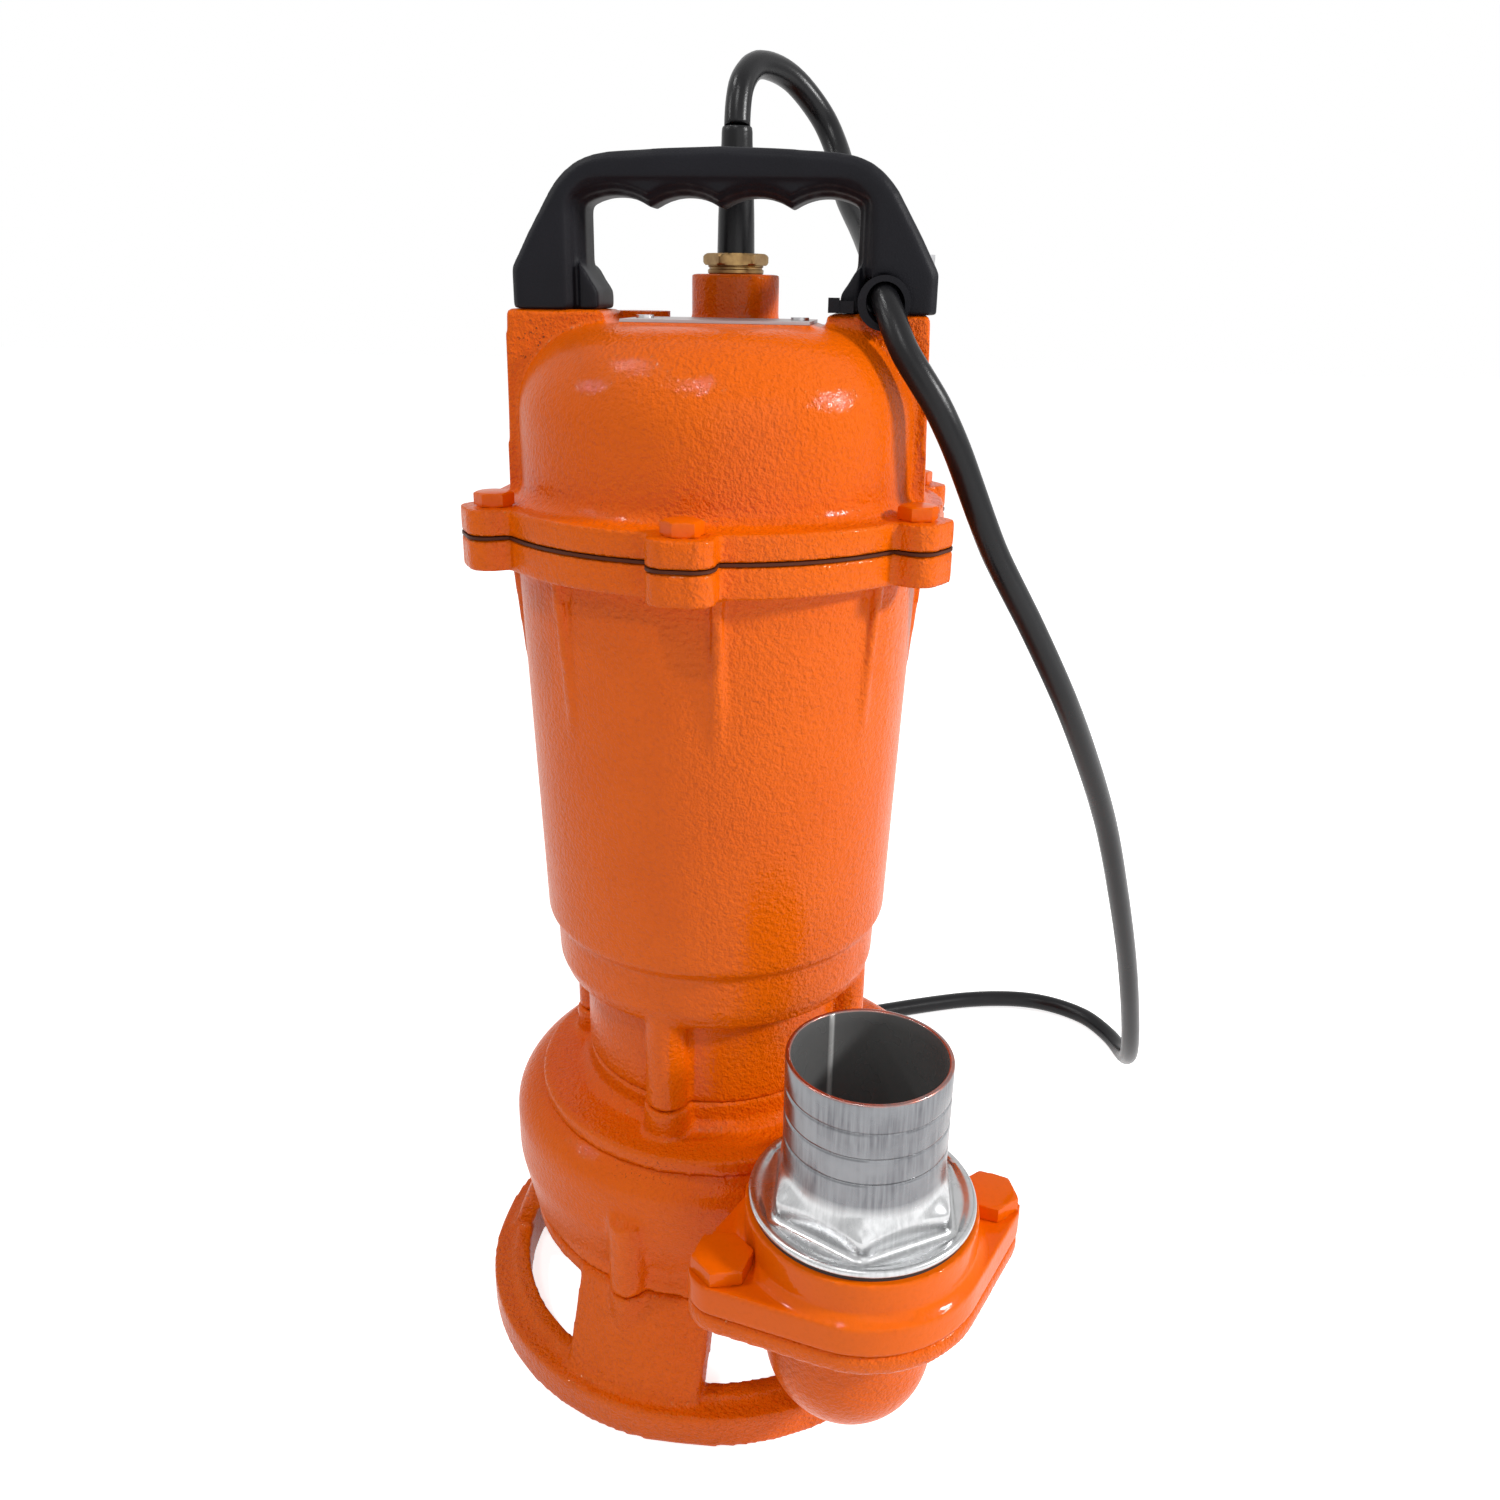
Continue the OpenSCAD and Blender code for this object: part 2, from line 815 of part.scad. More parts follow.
module cover_bolts() {
    color("darkorange")
    around(bolt_count, bolt_turn, bolt_circle_r)
        translate([0, 0, seam_top + cover_flange_t])
            rotate(12)
                hex_bolt(m6_r, m6_af, m6_head, cover_bolt_len);
}

module nameplate() {
    color("lightgray")
    difference() {
        translate([plate_x - plate_w / 2, plate_y - plate_d / 2, dome_top + plate_pad_h])
            cube([plate_w, plate_d, plate_thick]);
        at_rivets()
            cylinder(h = 4, r = rivet_r + fit);
    }
}

module at_rivets() {
    for (s = [-1, 1])
        translate([plate_x + s * (plate_w / 2 - 4), plate_y, dome_top + plate_pad_h - 1])
            children();
}

module nameplate_rivets() {
    color("lightgray")
    at_rivets() {
        translate([0, 0, 1])
            cylinder(h = plate_thick, r = rivet_r);
        translate([0, 0, 1 + plate_thick])
            cylinder(h = 0.8, r = rivet_r + 1);
    }
}

module test_plug() {
    color("darkorange")
    translate([plug_x, plug_y, dome_top]) {
        cylinder(h = test_plug_h, r = test_plug_r);
        translate([0, 0, -4.3])
            cylinder(h = 5, r = 5);
    }
}

// ---------------------------------------------------------------- handle

// Right half of the outline, from the foot up to the middle, drawn in by e
function handle_outer(e) = [
    [handle_x - e, 0],
    [handle_x - e, 11 - e / 2],
    [handle_x - 5.2 - e, 20.4 - e / 4],
    [handle_x - 12 - e, 31.6 - e / 2],
    [handle_x - 13.9 - e, 34 - e / 2],
    [handle_x - 16.3 - e * 0.8, 36.4 - e * 0.7],
    [handle_x - 19.4 - e * 0.5, 38.6 - e * 0.9],
    [handle_x - 23, 40.1 - e],
    [handle_x - 27, 41 - e],
    [handle_x - 33, 41.5 - e],
    [handle_x - 46, 42.2 - e],
    [0, handle_h - e],
];

function mirror_x(points) = [for (i = [len(points) - 1 : -1 : 0]) [-points[i][0], points[i][1]]];

module handle_slab(e, depth) {
    outline = handle_outer(e);
    translate([handle_shift, depth / 2, pad_top])
        rotate([90, 0, 0])
            linear_extrude(depth)
                polygon(concat(outline, mirror_x(outline)));
}

// Opening: a rounded window whose top edge has four finger grooves
module opening_outline(grow) {
    intersection() {
        translate([-grip_x - grow, -1])
            square([2 * (grip_x + grow), grip_h + grow + 2]);
        union() {
            for (i = [-1.5 : 1 : 1.5])
                translate([i * 20, grip_h - groove_r])
                    circle(r = groove_r + grow);
            translate([-grip_x - grow, -1])
                square([2 * (grip_x + grow), grip_h - 8]);
            for (s = [-1, 1])
                translate([s * (grip_x - 8), grip_h - 9])
                    circle(r = 8 + grow);
        }
    }
}

module toe_outline() {
    for (s = [-1, 1])
        polygon([
            [s * (grip_x + 1), -2], [s * (grip_x - toe_in), -2], [s * (grip_x - toe_in), 5],
            [s * (grip_x - 2.4), 7.8], [s * (grip_x - 0.4), 11.2], [s * (grip_x + 1), 12.4],
        ]);
}

module handle_window(grow, low, depth) {
    translate([window_shift, low + depth, pad_top])
        rotate([90, 0, 0])
            linear_extrude(depth)
                difference() {
                    opening_outline(grow);
                    toe_outline();
                }
}

// The walls of the window open out in steps towards both faces
module window_flares() {
    for (step = flare) {
        handle_window(step[0], handle_d / 2 - step[1], step[1] + 1);
        handle_window(step[0], -handle_d / 2 - 1, step[1] + 1);
    }
}

module border_outline() {
    wide = grip_x + window_border;
    tall = grip_h + window_border;
    corner_r = 10;
    translate([-wide, -1])
        square([2 * wide, tall - corner_r + 1]);
    translate([-wide + corner_r, -1])
        square([2 * (wide - corner_r), tall + 1]);
    for (s = [-1, 1])
        translate([s * (wide - corner_r), tall - corner_r])
            circle(r = corner_r);
}

// Shallow recess round the window on both faces
module window_borders() {
    for (low = [-handle_d / 2 - 1, handle_d / 2 - window_border_t])
        translate([window_shift, low + window_border_t + 1, pad_top])
            rotate([90, 0, 0])
                linear_extrude(window_border_t + 1)
                    border_outline();
}

module cord_eye(r, extra) {
    reach = norm([eye_shift, handle_d, eye_drop]);
    lean = acos(eye_drop / reach);
    turn = atan2(handle_d, -eye_shift);
    translate([eye_x, -handle_d / 2, eye_z])
        rotate([0, 0, turn])
            rotate([0, lean, 0])
                translate([0, 0, -extra])
                    cylinder(h = reach + 2 * extra, r = r);
}

module handle() {
    color("#202024")
    difference() {
        union() {
            handle_slab(1.5, handle_d);
            handle_slab(0, handle_d - 3);
        }
        handle_window(0, -handle_d / 2 - 1, handle_d + 2);
        window_flares();
        window_borders();
        cord_eye(eye_r, 20);
        for (s = [-1, 1])
            translate([handle_shift + s * handle_screw_x, 0, pad_top - 1]) {
                cylinder(h = handle_h + 2, r = m6_r + 0.3);
                translate([0, 0, handle_seat_h + 1])
                    cylinder(h = handle_h, r = handle_bore_r);
            }
        translate([tie_slot_x, -handle_d / 2 - 1, pad_top - 1])
            cube([1.6, handle_d + 2, 5]);
    }
}

module handle_screws() {
    color("silver")
    for (s = [-1, 1])
        translate([handle_shift + s * handle_screw_x, 0, pad_top + handle_seat_h]) {
            difference() {
                cylinder(h = 6, r = 5);
                translate([0, 0, 3])
                    cylinder(h = 4, r = 5 / sqrt(3), $fn = 6);
            }
            translate([0, 0, -24])
                cylinder(h = 24, r = m6_r);
        }
}

module cord_grommet() {
    color("#202024")
    translate([0, -handle_d / 2, 0])
        difference() {
            translate([eye_x + 0.3, 0, eye_z - 1.6])
                rotate([90, 0, 0])
                    cylinder(h = grommet_t, r = grommet_r);
            translate([0, handle_d / 2, 0])
                cord_eye(cord_d / 2 + grommet_gap, 30);
        }
}

module cord_tie() {
    x0 = toe_x - tie_t - 0.1;
    x1 = tie_slot_x + 1.4;
    color("#202024") {
        difference() {
            translate([x0, -handle_d / 2 - tie_t, pad_top + 0.3])
                cube([x1 - x0, handle_d + 2 * tie_t, 3.2]);
            translate([x0 + tie_t, -handle_d / 2 - 0.1, pad_top])
                cube([x1 - x0 - 2 * tie_t + 0.2, handle_d + 0.2, 5]);
        }
        translate([x0 - 1.5, -handle_d / 2 - tie_t - 0.5, pad_top + 0.3])
            cube([3, 4, 4]);
    }
}

// ---------------------------------------------------------------- outlet

module outlet_gasket() {
    color("black")
    at_outlet(outlet_z)
        difference() {
            rhombus(rhombus_r - 0.8, rhombus_end_r - 0.8, outlet_bolt_x, outlet_gasket_t);
            translate([0, 0, -1])
                cylinder(h = 3, r = passage_r + 2);
            for (s = [-1, 1])
                translate([s * outlet_bolt_x, 0, -1])
                    cylinder(h = 3, r = m10_r + 0.5);
        }
}

module outlet_flange() {
    color("darkorange")
    difference() {
        at_outlet(upper_plate_z)
            difference() {
                union() {
                    rhombus(rhombus_r, rhombus_end_r, outlet_bolt_x, upper_plate_t);
                    cylinder(h = upper_plate_t + collar_h, r = collar_r);
                    translate([0, 0, upper_plate_t])
                        cylinder(h = 3, r1 = collar_r + 2.5, r2 = collar_r - 0.5);
                }
                translate([0, 0, -1])
                    cylinder(h = upper_plate_t + collar_h + 2, r = passage_r);
                translate([0, 0, upper_plate_t + collar_h - tail_thread_h - 1])
                    cylinder(h = tail_thread_h + 2, r = tail_thread_r + thread_gap);
                for (s = [-1, 1])
                    translate([s * outlet_bolt_x, 0, 0]) {
                        translate([0, 0, -1])
                            cylinder(h = upper_plate_t + 2, r = m10_r + 0.5);
                        translate([0, 0, upper_plate_t - spot_face])
                            cylinder(h = 10, r = m10_af / sqrt(3) + 0.3);
                    }
            }
        disc(volute_top - 0.4, cap_top + cap_clear, cap_r + cap_clear);
    }
}

module outlet_bolts() {
    color("darkorange")
    at_outlet(collar_z - spot_face)
        for (s = [-1, 1])
            translate([s * outlet_bolt_x, 0, 0])
                rotate(s * 15 - outlet_turn)
                    hex_bolt(m10_r, m10_af, m10_head, upper_plate_t + lower_plate_t + 2);
}

module tail_gasket() {
    color("black")
    translate([outlet_x, outlet_y, 0])
        tube(collar_top, tail_flange_z, tail_flange_r - 1, tail_thread_r + 0.2);
}

module hose_tail() {
    color("gainsboro")
    translate([outlet_x, outlet_y, 0])
        difference() {
            union() {
                disc(tail_flange_z, tail_z, tail_flange_r);
                disc(collar_top - tail_thread_h, tail_flange_z + 1, tail_thread_r);
                disc(tail_z - 1, tail_z + tail_h, tail_r);
                translate([0, 0, tail_z - 1])
                    rotate(tail_hex_turn)
                        intersection() {
                            cylinder(h = tail_hex_h + 1, r = tail_hex_af / sqrt(3), $fn = 6);
                            cylinder(h = tail_hex_h + 1, r1 = tail_hex_af / 2 + 6.5, r2 = tail_r + 0.6);
                        }
            }
            disc(collar_top - tail_thread_h - 1, tail_z + tail_h + 1, tail_r - tail_wall);
            for (i = [1 : 3])
                rotate_extrude()
                    translate([tail_r + 0.25, tail_z + tail_h * (0.26 + 0.18 * i)])
                        circle(r = tail_groove_r, $fn = 24);
        }
}

// ---------------------------------------------------------------- gland and leads

module at_gland(z) {
    translate([gland_x, gland_y, z])
        children();
}

module gland_body() {
    color("#a8884a")
    at_gland(0)
        difference() {
            union() {
                disc(gland_z - 12, gland_z, gland_bore_r - thread_gap);
                disc(gland_z, gland_z + gland_flange_h, gland_flange_r);
            }
            disc(gland_z - 13, gland_z + gland_flange_h + 1, gland_inner_r);
        }
}

module gland_seal() {
    color("black")
    at_gland(0)
        tube(gland_z - 11, gland_z + gland_flange_h, gland_inner_r - fit, cord_d / 2 + fit);
}

module gland_nut() {
    color("#a8884a")
    at_gland(gland_z + gland_flange_h)
        difference() {
            intersection() {
                rotate(8)
                    cylinder(h = gland_nut_h, r = gland_nut_af / sqrt(3), $fn = 6);
                cylinder(h = gland_nut_h, r1 = gland_nut_af / 2 + 1, r2 = gland_nut_af / 2 + 0.4);
            }
            translate([0, 0, -1])
                cylinder(h = gland_nut_h + 2, r = sleeve_r + fit);
        }
}

module strain_relief() {
    color("#1c1c1e")
    at_gland(0)
        rotate_extrude()
            polygon([
                [cord_d / 2 + fit, sleeve_bottom],
                [sleeve_r, sleeve_bottom],
                [sleeve_r, cord_exit_z - sleeve_taper],
                [sleeve_end_r + 0.3, cord_exit_z - 2],
                [sleeve_end_r, cord_exit_z],
                [cord_d / 2 + fit, cord_exit_z],
            ]);
}

module inner_cord() {
    color("#1c1c1e")
    at_gland(0)
        disc(cord_inner_z, cord_exit_z, cord_d / 2);
}

module supply_leads() {
    color("brown")
    for (i = [-1 : 1])
        translate([gland_x + i * 2.4, gland_y, bracket_top + block_h])
            cylinder(h = cord_inner_z - bracket_top - block_h, r = 1.1);
}

module terminal_block() {
    color("ivory")
    difference() {
        translate([-block_w / 2, block_y, bracket_top])
            cube([block_w, block_d, block_h]);
        for (i = [-3 : 3])
            if (i != 0)
                translate([i * lead_step, block_y - 1, bracket_top + block_h - 4])
                    rotate([-90, 0, 0])
                        cylinder(h = 5, r = 1.6);
    }
}

module motor_leads() {
    color("firebrick")
    for (i = [-1 : 1])
        translate([i * 3.4, lead_y, stack_z + stack_h + winding_h])
            cylinder(h = bracket_top - stack_z - stack_h - winding_h, r = lead_r);
}

module capacitor() {
    color("whitesmoke")
    translate([-capacitor_len / 2, capacitor_y, capacitor_z])
        rotate([0, 90, 0])
            cylinder(h = capacitor_len, r = capacitor_r);
}

module capacitor_clamp() {
    color("silver")
    difference() {
        union() {
            translate([-6, capacitor_y, capacitor_z])
                rotate([0, 90, 0])
                    cylinder(h = 12, r = capacitor_r + clamp_t);
            translate([-6, capacitor_y - 2, bracket_top])
                cube([12, 2, capacitor_z - bracket_top]);
            translate([-6, capacitor_y - 12, bracket_top])
                cube([12, 12, 1.5]);
        }
        translate([-10, capacitor_y, capacitor_z])
            rotate([0, 90, 0])
                cylinder(h = 20, r = capacitor_r + fit);
    }
}

// ---------------------------------------------------------------- bearings and seals

module bearing_bracket() {
    color("silver")
    difference() {
        union() {
            disc(bracket_top - bracket_t, bracket_top, bracket_r);
            disc(hub_low, hub_top, hub_r);
        }
        disc(top_bearing_z - 5, hub_top + 1, top_bearing_ir + 4);
        disc(top_bearing_z, hub_top + 1, top_bearing_or + fit);
        around(6, 30, bracket_hole_circle_r)
            disc(bracket_top - bracket_t - 1, bracket_top + 1, bracket_hole_r);
    }
}

// Race centre and groove for a ball bearing
function race_r(r_out, r_in) = (r_out + r_in) / 2;
ball_r = 3;
groove_gap = 0.3;

module race_groove(pitch, z) {
    rotate_extrude()
        translate([pitch, z])
            circle(r = ball_r + groove_gap, $fn = 48);
}

module bearing_ring(z, w, r_out, r_in, pitch) {
    difference() {
        tube(z, z + w, r_out, r_in);
        race_groove(pitch, z + w / 2);
    }
}

module ball_set(z, w, pitch) {
    around(ball_count, 0, pitch)
        translate([0, 0, z + w / 2])
            sphere(r = ball_r);
    difference() {
        tube(z + w / 2 + 0.8, z + w / 2 + 4, pitch + 1, pitch - 1);
        around(ball_count, 0, pitch)
            translate([0, 0, z + w / 2])
                sphere(r = ball_r + fit);
    }
}

top_pitch = race_r(top_bearing_or, top_bearing_ir);
low_pitch = race_r(low_bearing_or, low_bearing_ir);

module top_bearing_outer() {
    color("silver")
        bearing_ring(top_bearing_z, top_bearing_w, top_bearing_or, top_pitch + 1.8, top_pitch);
}

module top_bearing_inner() {
    color("silver")
        bearing_ring(top_bearing_z, top_bearing_w, top_pitch - 1.8, top_bearing_ir, top_pitch);
}

module top_bearing_balls() {
    color("gainsboro")
        ball_set(top_bearing_z, top_bearing_w, top_pitch);
}

module low_bearing_outer() {
    color("silver")
        bearing_ring(low_bearing_z, low_bearing_w, low_bearing_or, low_pitch + 1.8, low_pitch);
}

module low_bearing_inner() {
    color("silver")
        bearing_ring(low_bearing_z, low_bearing_w, low_pitch - 1.8, low_bearing_ir, low_pitch);
}

module low_bearing_balls() {
    color("gainsboro")
        ball_set(low_bearing_z, low_bearing_w, low_pitch);
}

module lip_seal() {
    color("black")
        tube(oil_roof, oil_roof + 7, 15, seal_shaft_r + run_gap);
}

module seal_seat() {
    color("white")
        tube(neck_joint - 6, neck_joint, 14, seal_shaft_r + run_gap);
}

module seal_head() {
    color("dimgray") {
        tube(neck_joint + run_gap, neck_joint + 4, 12, seal_shaft_r);
        tube(neck_joint + 4, neck_joint + 16, 13.5, seal_shaft_r);
        tube(neck_joint + 16, neck_joint + 20, 12, seal_shaft_r);
    }
}

// ---------------------------------------------------------------- motor

module slot_bars(w, depth, z, h) {
    for (i = [0 : slot_count - 1])
        rotate(i * 360 / slot_count)
            translate([winding_r_in, -w / 2, z])
                cube([depth, w, h]);
}

module stator_core() {
    color("slategray")
    difference() {
        tube(stack_z, stack_z + stack_h, stator_r, bore_r);
        slot_bars(slot_w, slot_depth, stack_z - 1, stack_h + 2);
    }
}

module stator_windings() {
    color("#b4632d") {
        slot_bars(slot_w - 0.4, slot_depth - 0.4, stack_z - 1, stack_h + 2);
        tube(stack_z - winding_h, stack_z - 0.4, winding_r_out, winding_r_in);
        tube(stack_z + stack_h + 0.4, stack_z + stack_h + winding_h, winding_r_out, winding_r_in);
    }
}

rotor_r = bore_r - air_gap;

module rotor_core() {
    color("slategray")
        tube(stack_z, stack_z + stack_h, rotor_r, shaft_mid_r);
}

module rotor_end_rings() {
    color("gainsboro") {
        tube(stack_z - end_ring_h, stack_z, rotor_r - 1, end_ring_r);
        tube(stack_z + stack_h, stack_z + stack_h + end_ring_h, rotor_r - 1, end_ring_r);
    }
}

module motor_shaft() {
    hub_end = impeller_z + hub_h;
    color("silver")
    difference() {
        union() {
            disc(shaft_bottom - nut_h - 2, shaft_bottom + 3, 5);
            disc(shaft_bottom + 1.5, hub_end, impeller_shaft_r);
            disc(hub_end, low_bearing_z, seal_shaft_r);
            disc(low_bearing_z - 0.5, low_bearing_top, low_bearing_ir);
            disc(low_bearing_top, stack_z + stack_h + 14, shaft_mid_r);
            disc(stack_z + stack_h, top_bearing_z, 9);
            disc(top_bearing_z - 1, hub_top - 1, top_bearing_ir);
        }
        translate([impeller_shaft_r - 2, -2, impeller_z + 6])
            cube([4, 4, 14]);
    }
}

// ---------------------------------------------------------------- impeller

// One vane: a ring segment that sweeps back from the hub to the rim
module vane() {
    arc_r = 34;
    translate([13, -arc_r + 4, impeller_z])
        rotate(8)
            difference() {
                rotate_extrude(angle = 66)
                    translate([arc_r - 2.5, 0])
                        square([5, vane_h + 1]);
            }
}

module impeller() {
    color("#6d6f72")
    difference() {
        union() {
            disc(impeller_z + vane_h, impeller_z + vane_h + shroud_t, impeller_r);
            disc(impeller_z, impeller_z + hub_h, 12);
            intersection() {
                around(vane_count, 0, 0)
                    vane();
                disc(impeller_z, impeller_z + vane_h + 1, impeller_r);
            }
        }
        disc(impeller_z - 1, impeller_z + hub_h + 1, impeller_shaft_r + fit);
    }
}

module impeller_nut() {
    color("silver")
        translate([0, 0, impeller_z - nut_h])
            difference() {
                cylinder(h = nut_h, r = nut_af / sqrt(3), $fn = 6);
                translate([0, 0, -1])
                    cylinder(h = nut_h + 2, r = 5 + thread_gap);
            }
}

// ---------------------------------------------------------------- cord

function dir(a, b) = (b - a) / norm(b - a);

// Smooth curve through every point, with one more point between each two
function between(a, b, c, d) = (b + c) * 9 / 16 - (a + d) / 16;
function smooth_path(path) = [
    for (i = [0 : len(path) - 1])
        for (k = [0 : i == len(path) - 1 ? 0 : 1])
            k == 0 ? path[i] :
            between(path[max(0, i - 1)], path[i], path[i + 1], path[min(len(path) - 1, i + 2)])
];

// Tangent at point i of a path
function tangent(path, i) =
    i == 0 ? dir(path[0], path[1]) :
    i == len(path) - 1 ? dir(path[i - 1], path[i]) :
    dir(path[i - 1], path[i + 1]);

// First side vector, then each one turned as little as possible
function side_vectors(path, i = 0, side = [1, 0, 0], found = []) =
    i == len(path) ? found :
    let (t = tangent(path, i))
    let (flat = side - t * (side * t))
    let (next = flat / norm(flat))
    side_vectors(path, i + 1, next, concat(found, [next]));

module swept_tube(path, r, sides, first_side) {
    us = side_vectors(path, 0, first_side);
    rings = len(path);
    points = [
        for (i = [0 : rings - 1])
            let (t = tangent(path, i))
            let (v = cross(t, us[i]))
            for (k = [0 : sides - 1])
                path[i] + r * (cos(360 * k / sides) * us[i] + sin(360 * k / sides) * v)
    ];
    walls = [
        for (i = [0 : rings - 2])
            for (k = [0 : sides - 1])
                let (a = i * sides + k)
                let (b = i * sides + (k + 1) % sides)
                for (face = [[a, a + sides, b], [b, a + sides, b + sides]])
                    face
    ];
    last = (rings - 1) * sides;
    caps = [
        for (k = [1 : sides - 2])
            for (face = [[0, k, k + 1], [last, last + k + 1, last + k]])
                face
    ];
    polyhedron(points, concat(walls, caps));
}

// The coil winds clockwise, in and out again layer by layer at a steady rate
function coil_phase(t) = t / coil_layer_turns;
function coil_layer(t) = floor(coil_phase(t) + 0.5);
function coil_fold(t) = abs(coil_phase(t) - 2 * floor(coil_phase(t) / 2 + 0.5));
function coil_radius(t) = coil_out_r - coil_step * coil_layer_turns * coil_fold(t);
function coil_climb(t) =
    let (k = round(coil_phase(t)))
    let (s = t - k * coil_layer_turns)
    k <= 0 || k >= coil_turns / coil_layer_turns ? floor(coil_phase(t) + 0.001) :
    abs(s) >= 0.25 ? floor(coil_phase(t)) :
    k - 0.5 - 0.5 * cos(180 * (s * 2 + 0.5));
function coil_level(t) = min(coil_turns / coil_layer_turns - 1, max(0, coil_climb(t)));
function coil_point(t) = [
    coil_x + coil_radius(t) * cos(-90 - 360 * t),
    coil_y + coil_radius(t) * sin(-90 - 360 * t),
    coil_z + coil_step * coil_level(t),
];
coil_first = coil_point(0);
coil_last = coil_point(coil_turns);
coil_start = [coil_first[0] + coil_lead, coil_first[1], coil_first[2]];
coil_finish = [coil_last[0] - coil_lead, coil_last[1], coil_last[2]];
coil_path = concat(
    [coil_start],
    [for (i = [0 : coil_turns * coil_rings]) coil_point(i / coil_rings)],
    [coil_finish]
);

run_points = concat([exit_point], arch_points, hanging_points, floor_points, [coil_start]);

module cord_run() {
    color("#1c1c1e")
        swept_tube(smooth_path(run_points), cord_d / 2, 8, [1, 0, 0]);
}

// Least distance between any two turns, less the cord's own thickness
function coil_gap() = min([
    for (i = [0 : coil_turns * coil_rings])
        for (m = [1 : 8])
            for (j = [-2 : 2])
                let (n = i + m * coil_rings + j)
                if (n <= coil_turns * coil_rings)
                    norm(coil_point(i / coil_rings) - coil_point(n / coil_rings))
]) - cord_d;

module cord_coil() {
    echo(coil_self_gap = coil_gap());
    color("#1c1c1e")
        swept_tube(coil_path, cord_d / 2, 6, [0, 0, 1]);
}

module coil_tie() {
    inner = coil_out_r - coil_layer_turns * coil_step - cord_d / 2 - tie_gap;
    outer = coil_out_r + cord_d / 2 + 2 * tie_gap;
    low = coil_z - cord_d / 2 - tie_gap;
    high = coil_top + cord_d / 2 + tie_gap;
    color("#26262a")
    translate([coil_x, coil_y, 0])
        for (a = [10, 200])
            rotate(a)
                difference() {
                    translate([inner - tie_t, -tie_w / 2, low - tie_t])
                        cube([outer - inner + 2 * tie_t, tie_w, high - low + 2 * tie_t]);
                    translate([inner, -tie_w, low])
                        cube([outer - inner, 2 * tie_w, high - low]);
                }
}

module cord_end() {
    color("#1c1c1e")
        swept_tube(smooth_path(concat([coil_finish], end_points, [plug_rear])),
            cord_d / 2, 8, [0, 0, 1]);
}

module at_plug() {
    translate(plug_rear)
        rotate([0, 90, plug_dir])
            children();
}

module plug_body() {
    color("#1c1c1e")
    at_plug()
        rotate_extrude()
            polygon([
                [0, 0], [5.5, 0], [7.5, plug_boot_len - 2], [12, plug_boot_len],
                [plug_r, plug_boot_len + 8], [plug_r, plug_boot_len + plug_len - 2],
                [plug_r - 2, plug_boot_len + plug_len], [0, plug_boot_len + plug_len],
            ]);
}

module plug_pins() {
    color("gainsboro")
    at_plug()
        for (s = [-1, 1])
            translate([s * pin_gap / 2, 0, plug_boot_len + plug_len])
                cylinder(h = pin_len, r = pin_r);
}

base_stand();
foot_bolts();
volute_casing();
volute_cover();
cover_screws();
neck_oring();
motor_barrel();
cover_gasket();
top_cover();
cover_bolts();
handle();
handle_screws();
cord_grommet();
cord_tie();
nameplate();
nameplate_rivets();
test_plug();
outlet_gasket();
outlet_flange();
outlet_bolts();
tail_gasket();
hose_tail();
gland_body();
gland_seal();
gland_nut();
strain_relief();
inner_cord();
supply_leads();
terminal_block();
motor_leads();
capacitor();
capacitor_clamp();
bearing_bracket();
top_bearing_outer();
top_bearing_inner();
top_bearing_balls();
low_bearing_outer();
low_bearing_inner();
low_bearing_balls();
lip_seal();
seal_seat();
seal_head();
stator_core();
stator_windings();
rotor_core();
rotor_end_rings();
motor_shaft();
impeller();
impeller_nut();
cord_run();
cord_coil();
coil_tie();
cord_end();
plug_body();
plug_pins();
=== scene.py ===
"""Looks of the submersible pump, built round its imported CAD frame. Metres, in the CAD frame."""

import math

import bmesh
import bpy
from mathutils import Matrix, Vector


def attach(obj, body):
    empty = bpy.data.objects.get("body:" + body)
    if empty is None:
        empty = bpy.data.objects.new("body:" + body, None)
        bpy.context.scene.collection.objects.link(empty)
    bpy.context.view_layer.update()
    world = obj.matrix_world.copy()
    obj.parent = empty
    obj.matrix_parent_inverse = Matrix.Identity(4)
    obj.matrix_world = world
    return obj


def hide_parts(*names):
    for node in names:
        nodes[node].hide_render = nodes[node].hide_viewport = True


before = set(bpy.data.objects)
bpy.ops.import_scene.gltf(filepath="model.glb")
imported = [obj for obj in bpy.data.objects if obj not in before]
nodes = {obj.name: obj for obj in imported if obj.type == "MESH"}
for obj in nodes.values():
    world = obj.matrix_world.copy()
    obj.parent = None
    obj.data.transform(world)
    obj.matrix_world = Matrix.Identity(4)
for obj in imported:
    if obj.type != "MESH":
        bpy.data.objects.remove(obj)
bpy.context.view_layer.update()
scene = bpy.context.scene

# ------------------------------------------------------------------ camera
CAMERA_PLACE = Vector((0.05169, -0.38009, 0.35773))
LOOK_TURN, LOOK_DOWN, LOOK_ROLL = (math.radians(a) for a in (6.14, 20.57, -0.9))
LENS_FACTOR = 1234.45 / 1500
SENSOR = 36


def link(obj, material=None):
    """Put an object in the scene, with a material where one is given."""
    scene.collection.objects.link(obj)
    if material:
        obj.data.materials.append(material)
    return obj


